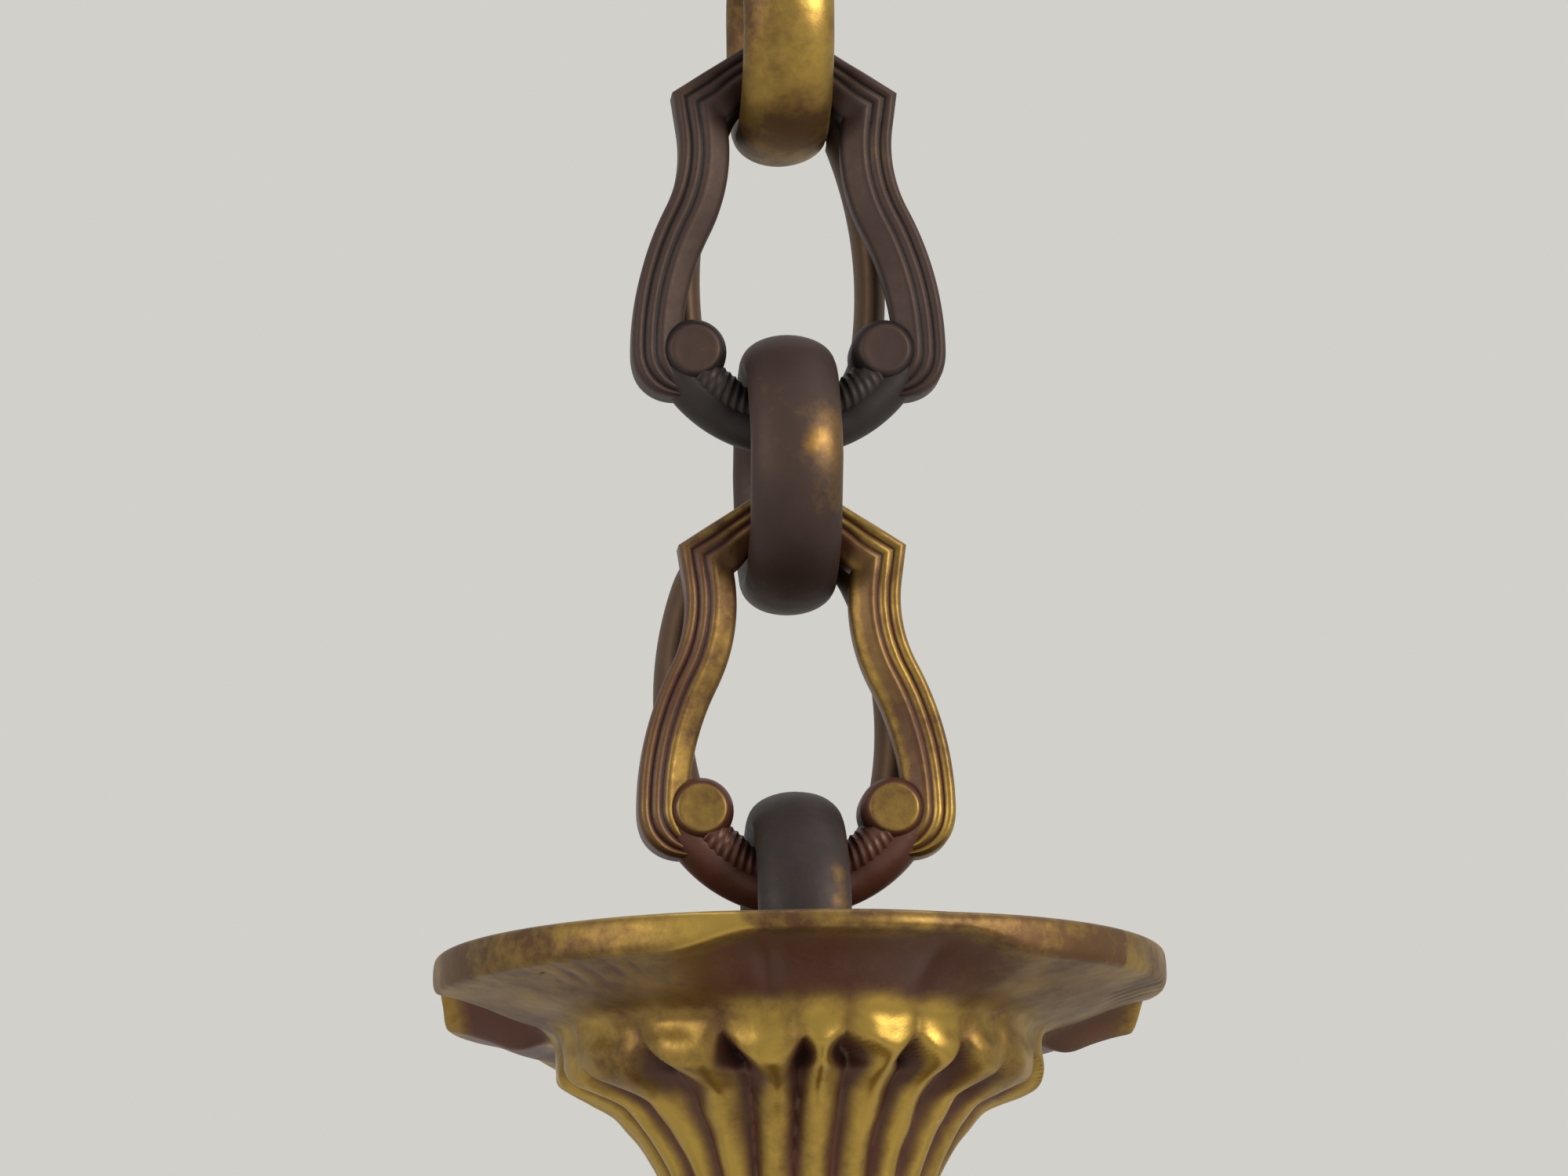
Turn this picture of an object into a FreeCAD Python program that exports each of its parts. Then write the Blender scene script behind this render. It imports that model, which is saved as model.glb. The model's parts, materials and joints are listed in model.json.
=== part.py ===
import FreeCAD, Part
import math
import os

Vector = FreeCAD.Vector

# Bronze chandelier hung on a chain of rings, lyre links and plain oval links.
# Millimetres, +Z up, origin at the middle of the ceiling plate's top face, so the object hangs below it.

# Clearances
running_gap = 0.35      # between a ring and the bars that it hangs on
side_gap = 0.6          # between a lyre and the oval link behind it
eye_gap = 0.9           # between the lowest ring and the eye that swings in it
slip_gap = 0.15         # around a tenon, spigot or rod in its hole

# Rings: a wide rounded section turned about the ring's own axis, which is along X
ring_centre_radius = 19.0
ring_half_width = 7.75
ring_half_thickness = 4.75

# Links: a lyre in front and a plain oval behind, side by side in the same two rings
link_opening = 53.5         # clear height inside a link, from its top bar to its bottom bar
link_half_depth = 4.75      # half the depth of the links, front to back
oval_half_straps = [2.6, 3.1]       # half the thickness of each oval's strap, seen from the front
oval_crown_bends = [10.5, 15.5]     # middle of the strap around the top of each oval
oval_side_bends = [72.0, 58.0]      # and along its sides
oval_crown_turns = [66.0, 68.0]     # degrees from the top to where the sides begin
oval_shifts = [-0.75, -1.2]         # how far each oval hangs to the left of its lyre
oval_tilts = [0.0, 3.0]             # degrees that each oval hangs askew, its top to the left
lyre_half_band = 4.3        # half the width of the lyre's band, seen from the front
lyre_gable_slope = 33.0     # degrees, from the peak down to the shoulders
lyre_peak_bend = 9.0
lyre_waist_half = 13.7      # middle of the band at the narrow waist
lyre_waist_drop = 15.0      # waist below the peak
lyre_waist_bend = 28.0
lyre_lean = 8.0             # degrees that the arms lean inwards between shoulder and waist
lyre_flare = 27.0           # degrees that the arms lean outwards between waist and belly
lyre_belly_bend = 50.0
lyre_scroll_bend = 6.2      # middle of the band around a volute
lyre_volute_radius = 5.2
lyre_volute_proud = 1.0     # volute disc in front of the band
lyre_tail_bend = 19.5
lyre_tail_spread = 62.0     # degrees to each side that the tail runs up from its lowest point

# Swing of a link to each side in the ring above it, degrees, for the seats worn by the ring
link_swing = 12.0

# Ceiling fitting
plate_radius = 52.0
plate_lobes = 6
plate_lobe_depth = 3.0
plate_edge = 3.5
plate_height = 14.0
plate_step_radius = 24.0
plate_boss_radius = 12.0
plate_screw_circle = 80.0
plate_screw_hole = 5.5
plate_screw_count = 3
hook_drop = 73.5            # ceiling to the middle of the hook's lowest bar
hook_bar_radius = 3.5
hook_bend_radius = 15.5
hook_lead_angle = 50.0      # where the bend from the shank meets the hook's round, above level
hook_tip_angle = 150.0
hook_tip_radius = 4.6
hook_thread_depth = 10.0    # shank inside the ceiling plate
nut_across_flats = 13.0
nut_height = 6.0

# Eye inside the crown cup
eye_wire_radius = 4.5
eye_bend_radius = 18.0
eye_foot_radius = 11.0
eye_foot_height = 5.0
eye_boss_radius = 8.0
eye_boss_length = 17.0

# Crown cup: drop below the middle of the rim, radius, lobe depth and lobe count
cup_rim_below_ring = 5.6    # rim below the middle of the lowest ring
cup_lobes = 3
cup_turn = -24.5            # degrees, bearing of the middle of one lobe
cup_ribs = 21
cup_outline = [
    (-2.0, 61.4, 3.0, cup_lobes),
    (2.0, 62.0, 3.2, cup_lobes),
    (4.2, 55.8, 2.4, cup_lobes),
    (7.5, 46.6, 1.0, cup_lobes),
    (11.0, 41.6, 0.0, cup_ribs),
    (15.0, 40.2, 1.0, cup_ribs),
    (19.0, 40.0, 2.0, cup_ribs),
    (22.0, 36.4, 2.4, cup_ribs),
    (25.0, 31.6, 2.4, cup_ribs),
    (28.0, 28.6, 2.0, cup_ribs),
    (31.5, 26.2, 1.8, cup_ribs),
    (35.0, 24.2, 1.6, cup_ribs),
    (40.0, 22.2, 1.4, cup_ribs),
]
cup_hollow = [
    (-2.0, 55.5), (1.5, 47.5), (7.0, 36.5), (16.0, 30.0),
    (21.0, 25.8), (25.0, 24.4), (29.0, 23.1), (33.0, 21.1),
]
cup_floor_radius = 14.5
cup_neck_length = 20.0      # solid neck below the floor
cup_neck_radius = 19.0
cup_neck_lobe_depth = 0.8

# Stem, from the cup down
tie_rod_radius = 5.0
tie_rod_grip = 15.0         # length of thread in the eye and in the finial
collar_height = 12.0
collar_radius = 24.0
collar_edge_radius = 18.0
baluster_lobes = 12
baluster_outline = [
    (0.0, 17.5, 0.0), (6.0, 17.5, 0.0), (11.0, 13.0, 0.0), (30.0, 16.0, 0.8), (55.0, 26.0, 2.0),
    (80.0, 36.0, 3.0), (98.0, 38.5, 3.0), (112.0, 34.0, 2.4), (124.0, 22.0, 1.2), (129.0, 18.0, 0.0),
    (134.0, 23.0, 0.0), (141.0, 23.0, 0.0),
]
hub_height = 60.0
hub_flat_distance = 46.0    # axis to each of the six flats
hub_rim_radius = 50.0
hub_rim_height = 8.0
bowl_lobes = 16
bowl_inset = 3.0            # bowl's top edge inside the hub's rim
bowl_outline = [
    (0.0, hub_rim_radius - bowl_inset, 0.0), (4.0, hub_rim_radius - bowl_inset, 0.0),
    (9.0, hub_rim_radius, 1.5), (18.0, 49.0, 3.0), (30.0, 41.0, 3.0),
    (42.0, 27.0, 2.0), (50.0, 18.0, 1.0), (54.0, 15.0, 0.0), (58.0, 16.0, 0.0),
]
finial_lobes = 10
finial_outline = [
    (0.0, 15.0, 0.0), (5.0, 18.0, 0.0), (10.0, 12.0, 0.0), (14.0, 12.0, 0.0), (24.0, 20.0, 1.5),
    (36.0, 23.5, 2.2), (50.0, 18.0, 1.8), (62.0, 9.5, 0.8), (70.0, 6.0, 0.0), (76.0, 7.0, 0.0),
    (81.0, 3.0, 0.0),
]

# Arms: a rod that rises from the hub, sweeps over and turns up to the pan, with a counter scroll
arm_count = 6
arm_rod_radius = 7.0
arm_tenon_length = 16.0
arm_collar_radius = 11.0
arm_collar_length = 6.0
arm_lead_out = 6.0
arm_rise_bend = 40.0
arm_rise_turn = 35.0        # degrees
arm_sweep_bend = 100.0
arm_sweep_turn = 75.0       # degrees
arm_upturn_bend = 80.0
scroll_rod_radius = 5.2
scroll_bends = [40.0, 26.0, 14.0]
scroll_turn = 150.0         # degrees along each bend
scroll_bead_radius = 8.0
arm_seat_radius = 13.0
arm_seat_height = 5.0
spigot_radius = 4.0
spigot_grip = 9.0           # length of the spigot inside the nozzle
screw_radius = 2.5
screw_head_radius = 4.2
screw_head_height = 4.0
screw_bite = 6.0            # length of the screw inside the tenon

# Drip pans and candle nozzles: height above their seat, radius, lobe depth
pan_lobes = 8
pan_floor = 2.5
pan_outline = [(0.0, 14.0, 0.0), (3.0, 22.0, 0.6), (7.0, 37.0, 2.4), (10.5, 45.0, 3.6), (12.5, 46.0, 3.8)]
pan_hollow = [(pan_floor, 15.5, 0.0), (5.5, 22.0, 0.6), (9.4, 36.0, 2.4), (12.6, 44.0, 3.6)]
nozzle_lobes = 8
nozzle_outline = [
    (0.0, 13.0, 0.0), (3.0, 13.0, 0.0), (6.0, 8.8, 0.0), (9.0, 9.5, 0.0), (15.0, 14.6, 1.0),
    (25.0, 15.6, 1.2), (35.0, 14.4, 0.8), (41.0, 16.4, 0.0), (44.0, 16.4, 0.0),
]
candle_bore_radius = 11.0
candle_bore_depth = 30.0

# Points on the outline of each lobe of a lobed piece
lobe_points = 6

# Places worked out from the sizes above
ring_inner_radius = ring_centre_radius - ring_half_thickness
link_offset = link_half_depth + side_gap / 2


def bar_drop(half_thickness):
    """Distance from a ring's middle to the middle of a link's bar that seats in the ring beside its twin."""
    reach = ring_inner_radius - running_gap
    drops = []
    for degrees in range(0, 91, 2):
        angle = math.radians(degrees)
        edge = link_offset + link_half_depth * math.cos(angle)
        drops.append(math.sqrt(reach**2 - edge**2) - half_thickness * math.sin(angle))
    return min(drops)


lyre_drop = bar_drop(lyre_half_band)
lyre_length = link_opening + 2 * lyre_half_band
ring_pitch = lyre_length + 2 * lyre_drop
ring_1_z = -hook_drop - (ring_inner_radius - hook_bar_radius - running_gap)
ring_heights = [ring_1_z - number * ring_pitch for number in range(3)]
eye_z = ring_heights[2] - (ring_inner_radius - eye_wire_radius - eye_gap) - eye_bend_radius
cup_rim_z = ring_heights[2] - cup_rim_below_ring
cup_floor_z = eye_z - eye_bend_radius - eye_wire_radius - eye_foot_height
eye_boss_z = cup_floor_z - eye_boss_length
cup_foot_z = cup_floor_z - cup_neck_length
neck_collar_z = cup_foot_z
baluster_z = neck_collar_z - collar_height
hub_collar_z = baluster_z - baluster_outline[-1][0]
hub_z = hub_collar_z - collar_height
arm_z = hub_z - hub_height / 2
bowl_z = hub_z - hub_height
finial_z = bowl_z - bowl_outline[-1][0]
rod_hole_radius = tie_rod_radius + slip_gap


def lobed_wire(z, radius, depth, lobes, points):
    """Closed smooth outline at one height, drawn in by depth between its lobes."""
    outline = []
    for step in range(points):
        angle = 2 * math.pi * step / points
        reach = radius - depth * (0.5 - 0.5 * math.cos(lobes * angle))
        outline.append(Vector(reach * math.cos(angle), reach * math.sin(angle), z))
    curve = Part.BSplineCurve()
    curve.interpolate(Points=outline, PeriodicFlag=True)
    return Part.Wire(curve.toShape())


def lobed_solid(stations):
    """Solid through stations of height, radius, lobe depth and lobe count."""
    points = lobe_points * max(lobes for z, radius, depth, lobes in stations)
    wires = [lobed_wire(z, radius, depth, lobes, points) for z, radius, depth, lobes in stations]
    return Part.makeLoft(wires, True, True)


def hanging(outline, top_z, lobes):
    """Stations of an outline that is given as drops below its top."""
    return [(top_z - drop, radius, depth, lobes) for drop, radius, depth in outline]


def standing(outline, lobes):
    """Stations of an outline that is given as heights above its seat."""
    return [(height, radius, depth, lobes) for height, radius, depth in outline]


def turned(profile):
    """Solid of revolution about Z from a closed outline of radius and height."""
    corners = [Vector(radius, 0, z) for radius, z in profile]
    face = Part.Face(Part.makePolygon(corners + corners[:1]))
    return face.revolve(Vector(0, 0, 0), Vector(0, 0, 1), 360)


def prism(corner_radius, sides, first_angle, foot_z, height):
    """Upright prism on a regular polygon, its first corner at an angle in degrees from +X."""
    corners = []
    for side in range(sides):
        angle = math.radians(first_angle + 360 * side / sides)
        corners.append(Vector(corner_radius * math.cos(angle), corner_radius * math.sin(angle), foot_z))
    return Part.Face(Part.makePolygon(corners + corners[:1])).extrude(Vector(0, 0, height))


def rod_hole(top_z, length):
    """Clearance hole for the tie rod, down from top_z."""
    return Part.makeCylinder(rod_hole_radius, length, Vector(0, 0, top_z - length))


def walk(x, z, heading, steps):
    """Edges of a path in the XZ plane: (length, 0) is a straight run, (radius, turn) a tangent bend."""
    edges = []
    for size, turn in steps:
        facing = math.radians(heading)
        start = Vector(x, 0, z)
        if turn == 0:
            end = start + Vector(math.cos(facing), 0, math.sin(facing)) * size
            edges.append(Part.makeLine(start, end))
        else:
            side = math.copysign(1, turn)
            centre = start + Vector(-math.sin(facing), 0, math.cos(facing)) * (side * size)
            spoke = start - centre
            middle = centre + turned_in_xz(spoke, turn / 2)
            end = centre + turned_in_xz(spoke, turn)
            edges.append(Part.Arc(start, middle, end).toShape())
        heading += turn
        x, z = end.x, end.z
    return edges


def turned_in_xz(spoke, angle):
    """A spoke turned by an angle in degrees, from X towards Z."""
    cosine = math.cos(math.radians(angle))
    sine = math.sin(math.radians(angle))
    return Vector(spoke.x * cosine - spoke.z * sine, 0, spoke.x * sine + spoke.z * cosine)


def rod(edges, half_width, half_depth):
    """Rod of oval section along a path in the XZ plane; half_depth is along Y."""
    start = edges[0].firstVertex().Point
    heading = edges[0].tangentAt(edges[0].FirstParameter)
    across = Vector(-heading.z, 0, heading.x)
    if half_depth > half_width:
        section = Part.Ellipse(start + Vector(0, half_depth, 0), start + across * half_width, start)
    elif half_depth < half_width:
        section = Part.Ellipse(start + across * half_width, start + Vector(0, half_depth, 0), start)
    else:
        section = Part.Circle(start, heading, half_width)
    return Part.Wire(edges).makePipeShell([Part.Wire(section.toShape())], True, False)


def joined(pieces):
    """One solid from pieces that overlap or share faces."""
    return pieces[0].multiFuse(pieces[1:]).removeSplitter()


def mirrored(piece):
    """The piece on the other side of the YZ plane."""
    return piece.mirror(Vector(0, 0, 0), Vector(1, 0, 0))


def around(piece, number, count):
    """The piece turned about Z to its place among count equal ones."""
    copy = piece.copy()
    copy.rotate(Vector(0, 0, 0), Vector(0, 0, 1), 360 * number / count)
    return copy


def moved(piece, offset):
    """A copy of the piece, shifted."""
    copy = piece.copy()
    copy.translate(offset)
    return copy


def suspension_ring(z, gap=0.0):
    """Plain ring in the YZ plane; a gap makes the space that it needs around it."""
    section = Part.Ellipse(Vector(0, 0, 0), ring_half_width + gap, ring_half_thickness + gap).toShape()
    section.translate(Vector(0, ring_centre_radius, 0))
    ring = Part.Face(Part.Wire(section)).revolve(Vector(0, 0, 0), Vector(1, 0, 0), 360)
    return moved(ring, Vector(0, 0, z))


def seated(link, upper_ring_z, lower_ring_z):
    """The link with the seats of both its rings, the upper one wide enough for its swing."""
    pivot = Vector(0, 0, upper_ring_z - ring_centre_radius)
    for tilt in (-link_swing, 0, link_swing):
        seat = suspension_ring(upper_ring_z, running_gap)
        seat.rotate(pivot, Vector(0, 1, 0), tilt)
        link = link.cut(seat)
    return link.cut(suspension_ring(lower_ring_z, running_gap))


def half_space(corner, facing, size):
    """Block on the side of a plane, in the XZ plane, that facing (degrees) points to."""
    block = Part.makeBox(size, size, size, Vector(0, -size / 2, -size / 2))
    block.rotate(Vector(0, 0, 0), Vector(0, 1, 0), -facing)
    return moved(block, corner)


def lyre_side(peak_z):
    """Right half of a lyre: gable, mitred shoulder, arm, scroll and volute disc."""
    slope = math.radians(lyre_gable_slope)
    lean = math.radians(lyre_lean)
    apex_z = peak_z + lyre_peak_bend * (1 / math.cos(slope) - 1)
    waist_x = lyre_waist_half + lyre_waist_bend * (1 - math.cos(lean))
    waist_z = peak_z - lyre_waist_drop + lyre_waist_bend * math.sin(lean)
    fall = apex_z - waist_x * math.tan(slope) - waist_z
    arm_run = fall / (math.cos(lean) + math.sin(lean) * math.tan(slope))
    shoulder = Vector(waist_x + arm_run * math.sin(lean), 0, waist_z + arm_run * math.cos(lean))
    overrun = 3 * lyre_half_band

    gable_run = shoulder.x / math.cos(slope) - lyre_peak_bend * math.tan(slope) + overrun
    gable_path = walk(0, peak_z, 0, [(lyre_peak_bend, -lyre_gable_slope), (gable_run, 0)])
    gable = rod(gable_path, lyre_half_band, link_half_depth)
    arm_heading = -90 - lyre_lean
    arm_start = shoulder + turned_in_xz(Vector(overrun, 0, 0), arm_heading + 180)
    lyre_path = walk(arm_start.x, arm_start.z, arm_heading, [
        (overrun + arm_run, 0),
        (lyre_waist_bend, lyre_lean + lyre_flare),
        (lyre_belly_bend, -lyre_flare),
        (lyre_scroll_bend, -90),
    ])
    side = rod(lyre_path, lyre_half_band, link_half_depth)

    mitre = (arm_heading - lyre_gable_slope) / 2
    reach = 2 * lyre_length
    gable = gable.common(half_space(shoulder, mitre + 180, reach))
    side = side.common(half_space(shoulder, mitre, reach))

    scroll_end = lyre_path[-1].lastVertex().Point
    disc_depth = 2 * link_half_depth + lyre_volute_proud
    disc_front = -link_half_depth - lyre_volute_proud
    disc_centre = Vector(scroll_end.x, disc_front, scroll_end.z + lyre_scroll_bend)
    disc = Part.makeCylinder(lyre_volute_radius, disc_depth, disc_centre, Vector(0, 1, 0))
    return [gable, side, disc]


def lyre(upper_ring_z, lower_ring_z):
    """Ornamental link, a lyre of banded arms ending in volutes over a bowed tail."""
    peak_z = upper_ring_z - lyre_drop
    right = lyre_side(peak_z)
    left = [mirrored(piece) for piece in right]
    tail_z = lower_ring_z + lyre_drop
    spread = math.radians(lyre_tail_spread)
    tail_start_x = lyre_tail_bend * math.sin(spread)
    tail_start_z = tail_z + lyre_tail_bend * (1 - math.cos(spread))
    bow = [(lyre_tail_bend, -2 * lyre_tail_spread)]
    tail_path = walk(tail_start_x, tail_start_z, 180 + lyre_tail_spread, bow)
    tail = rod(tail_path, lyre_half_band, link_half_depth)
    whole = joined(right + left + [tail])
    return seated(moved(whole, Vector(0, -link_offset, 0)), upper_ring_z, lower_ring_z)


def oval(upper_ring_z, lower_ring_z, number):
    """Plain strap link behind the lyre: crown bend, long side bends and the foot bend that closes it."""
    half_strap = oval_half_straps[number]
    crown, side = oval_crown_bends[number], oval_side_bends[number]
    crown_turn = oval_crown_turns[number]
    top_z = upper_ring_z - bar_drop(half_strap)
    height = top_z - lower_ring_z - bar_drop(half_strap)
    spread = (side - crown) * math.sin(math.radians(crown_turn))
    fall = height - crown - (side - crown) * math.cos(math.radians(crown_turn))
    foot = (side**2 - spread**2 - fall**2) / (2 * (side - fall))
    foot_turn = math.degrees(math.asin(spread / (side - foot)))
    side_turn = 180 - crown_turn - foot_turn
    flank = [(crown, -crown_turn), (side, -side_turn)]
    path = walk(0, top_z, 0, flank + [(foot, -2 * foot_turn)] + flank[::-1])
    runs = [rod(edges, half_strap, link_half_depth) for edges in (path[:2], path[2:4], path[4:])]
    link = joined(runs)
    link.rotate(Vector(0, 0, (upper_ring_z + lower_ring_z) / 2), Vector(0, 1, 0), -oval_tilts[number])
    return seated(moved(link, Vector(oval_shifts[number], link_offset, 0)), upper_ring_z, lower_ring_z)


def ceiling_plate():
    """Lobed rosette with a boss, its screw holes and the thread for the hook."""
    stations = [
        (0, plate_radius, plate_lobe_depth, plate_lobes),
        (-plate_edge, plate_radius, plate_lobe_depth, plate_lobes),
        (-(plate_edge + plate_height) / 2, plate_step_radius, 0, plate_lobes),
        (-plate_height, plate_boss_radius, 0, plate_lobes),
    ]
    plate = lobed_solid(stations)
    thread = Part.makeCylinder(hook_bar_radius + slip_gap, hook_thread_depth, Vector(0, 0, -plate_height))
    hole_foot = Vector(plate_screw_circle / 2, 0, -plate_height)
    hole = Part.makeCylinder(plate_screw_hole / 2, plate_height, hole_foot)
    holes = [around(hole, number, plate_screw_count) for number in range(plate_screw_count)]
    return plate.cut([thread] + holes)


def ceiling_hook():
    """Round bar hook with a ball tip; its shank screws up into the plate."""
    lead = math.radians(hook_lead_angle)
    lead_bend = hook_bend_radius * math.cos(lead) / (1 - math.cos(lead))
    bend_top_z = -hook_drop + hook_bend_radius * (1 + math.sin(lead)) + lead_bend * math.sin(lead)
    shank_top_z = hook_thread_depth - plate_height
    path = walk(0, shank_top_z, -90, [
        (shank_top_z - bend_top_z, 0),
        (lead_bend, hook_lead_angle),
        (hook_bend_radius, -(hook_lead_angle + 360 - hook_tip_angle)),
    ])
    bar = rod(path, hook_bar_radius, hook_bar_radius)
    ball = Part.makeSphere(hook_tip_radius, path[-1].lastVertex().Point)
    return joined([bar, ball])


def hook_nut():
    """Lock nut on the hook's shank, under the plate."""
    foot_z = -plate_height - nut_height
    blank = prism(nut_across_flats / math.sqrt(3), 6, 0, foot_z, nut_height)
    return blank.cut(Part.makeCylinder(hook_bar_radius + slip_gap, nut_height, Vector(0, 0, foot_z)))


def suspension_eye():
    """Round eye on a foot, with a threaded boss below for the tie rod."""
    loop = Part.makeTorus(eye_bend_radius, eye_wire_radius, Vector(0, 0, eye_z), Vector(0, 1, 0))
    foot = Part.makeCylinder(eye_foot_radius, eye_foot_height, Vector(0, 0, cup_floor_z))
    stalk = Part.makeCylinder(eye_boss_radius, eye_foot_height + eye_wire_radius, Vector(0, 0, cup_floor_z))
    boss = Part.makeCylinder(eye_boss_radius, eye_boss_length, Vector(0, 0, eye_boss_z))
    thread = Part.makeCylinder(rod_hole_radius, tie_rod_grip, Vector(0, 0, eye_boss_z))
    return joined([loop, foot, stalk, boss]).cut(thread)


def crown_cup():
    """Lobed cup with a row of leaf swellings and a ribbed neck, hollow for the ring and the eye."""
    stations = [(cup_rim_z - drop, radius, depth, lobes) for drop, radius, depth, lobes in cup_outline]
    stations.append((cup_foot_z, cup_neck_radius, cup_neck_lobe_depth, cup_ribs))
    body = lobed_solid(stations)
    hollow = [(radius, cup_rim_z - drop) for drop, radius in cup_hollow]
    hollow += [(cup_floor_radius, cup_floor_z), (0, cup_floor_z), (0, hollow[0][1])]
    boss_hole = Part.makeCylinder(eye_boss_radius + slip_gap, eye_boss_length, Vector(0, 0, eye_boss_z))
    cup = body.cut([turned(hollow), boss_hole, rod_hole(cup_floor_z, cup_neck_length)])
    return around(cup, cup_turn, 360)


def collar(top_z):
    """Half-round collar between two stem pieces."""
    foot_z = top_z - collar_height
    upper_edge = Vector(collar_edge_radius, 0, top_z)
    lower_edge = Vector(collar_edge_radius, 0, foot_z)
    bulge = Part.Arc(upper_edge, Vector(collar_radius, 0, (top_z + foot_z) / 2), lower_edge).toShape()
    bore_foot = Vector(rod_hole_radius, 0, foot_z)
    bore_top = Vector(rod_hole_radius, 0, top_z)
    inside = Part.makePolygon([lower_edge, bore_foot, bore_top, upper_edge])
    face = Part.Face(Part.Wire([bulge] + inside.Edges))
    return face.revolve(Vector(0, 0, 0), Vector(0, 0, 1), 360)


def baluster():
    """Fluted pear-shaped stem piece."""
    body = lobed_solid(hanging(baluster_outline, baluster_z, baluster_lobes))
    return body.cut(rod_hole(baluster_z, baluster_outline[-1][0]))


def arm_hub():
    """Six-sided hub between two round rims, with a socket and a screw hole for each arm."""
    corner_radius = hub_flat_distance / math.cos(math.pi / arm_count)
    block = prism(corner_radius, arm_count, 180 / arm_count, bowl_z, hub_height)
    lower_rim = Part.makeCylinder(hub_rim_radius, hub_rim_height, Vector(0, 0, bowl_z))
    upper_rim = Part.makeCylinder(hub_rim_radius, hub_rim_height, Vector(0, 0, hub_z - hub_rim_height))
    socket = Part.makeCylinder(
        arm_rod_radius + slip_gap, arm_tenon_length,
        Vector(hub_flat_distance - arm_tenon_length, 0, arm_z), Vector(1, 0, 0),
    )
    screw_x = hub_flat_distance - arm_tenon_length / 2
    shaft = Part.makeCylinder(screw_radius + slip_gap, arm_z - bowl_z, Vector(screw_x, 0, bowl_z))
    recess = Part.makeCylinder(screw_head_radius + slip_gap, screw_head_height, Vector(screw_x, 0, bowl_z))
    hollows = [rod_hole(hub_z, hub_height)]
    for number in range(arm_count):
        hollows += [around(hollow, number, arm_count) for hollow in (socket, shaft, recess)]
    return joined([block, lower_rim, upper_rim]).cut(hollows)


def arm_screws():
    """The screws that hold the arm tenons, one solid each, let into the hub's underside."""
    screw_x = hub_flat_distance - arm_tenon_length / 2
    tip_z = arm_z - arm_rod_radius + screw_bite
    shank = Part.makeCylinder(screw_radius, tip_z - bowl_z, Vector(screw_x, 0, bowl_z))
    head = Part.makeCylinder(screw_head_radius, screw_head_height, Vector(screw_x, 0, bowl_z))
    screw = joined([shank, head])
    return Part.makeCompound([around(screw, number, arm_count) for number in range(arm_count)])


def arm_path():
    """Path of an arm's rod from the end of its tenon to the seat under the drip pan."""
    start_x = hub_flat_distance - arm_tenon_length
    return walk(start_x, arm_z, 0, [
        (arm_tenon_length + arm_collar_length + arm_lead_out, 0),
        (arm_rise_bend, arm_rise_turn),
        (arm_sweep_bend, -arm_sweep_turn),
        (arm_upturn_bend, 90 - arm_rise_turn + arm_sweep_turn),
    ])


def arm():
    """S-scroll arm along +X, with its tenon, collar, counter scroll, pan seat and spigot."""
    path = arm_path()
    rail = rod(path, arm_rod_radius, arm_rod_radius)
    flange = Part.makeCylinder(
        arm_collar_radius, arm_collar_length, Vector(hub_flat_distance, 0, arm_z), Vector(1, 0, 0)
    )
    branch = path[2].lastVertex().Point
    branch_heading = 180 + arm_rise_turn - arm_sweep_turn
    scroll_path = walk(branch.x, branch.z, branch_heading, [(bend, scroll_turn) for bend in scroll_bends])
    scroll = rod(scroll_path, scroll_rod_radius, scroll_rod_radius)
    bead = Part.makeSphere(scroll_bead_radius, scroll_path[-1].lastVertex().Point)
    tip = path[-1].lastVertex().Point
    seat = Part.makeCylinder(arm_seat_radius, arm_seat_height, tip)
    spigot = Part.makeCylinder(spigot_radius, arm_seat_height + pan_floor + spigot_grip, tip)
    screw_x = hub_flat_distance - arm_tenon_length / 2
    screw_hole = Part.makeCylinder(
        screw_radius + slip_gap, screw_bite + slip_gap, Vector(screw_x, 0, arm_z - arm_rod_radius)
    )
    return joined([rail, flange, scroll, bead, seat, spigot]).cut(screw_hole)


def drip_pan(seat):
    """Lobed dish on the arm's seat, with a hole for the spigot."""
    dish = lobed_solid(standing(pan_outline, pan_lobes))
    hollow = lobed_solid(standing(pan_hollow, pan_lobes))
    hole = Part.makeCylinder(spigot_radius + slip_gap, pan_floor)
    return moved(dish.cut([hollow, hole]), seat)


def candle_nozzle(seat):
    """Candle cup on the pan's floor, bored for the candle and for the spigot."""
    body = lobed_solid(standing(nozzle_outline, nozzle_lobes))
    bore_foot = Vector(0, 0, nozzle_outline[-1][0] - candle_bore_depth)
    candle = Part.makeCylinder(candle_bore_radius, candle_bore_depth, bore_foot)
    socket = Part.makeCylinder(spigot_radius + slip_gap, spigot_grip + slip_gap)
    return moved(body.cut([candle, socket]), seat)


def lower_bowl():
    """Gadrooned bowl that closes the hub from below."""
    body = lobed_solid(hanging(bowl_outline, bowl_z, bowl_lobes))
    return body.cut(rod_hole(bowl_z, bowl_outline[-1][0]))


def finial():
    """Bud that is the nut on the lower end of the tie rod."""
    body = lobed_solid(hanging(finial_outline, finial_z, finial_lobes))
    return body.cut(rod_hole(finial_z, tie_rod_grip))


def tie_rod():
    """Rod from the eye's boss through the stem into the finial."""
    top_z = eye_boss_z + tie_rod_grip
    foot_z = finial_z - tie_rod_grip
    return Part.makeCylinder(tie_rod_radius, top_z - foot_z, Vector(0, 0, foot_z))


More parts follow.
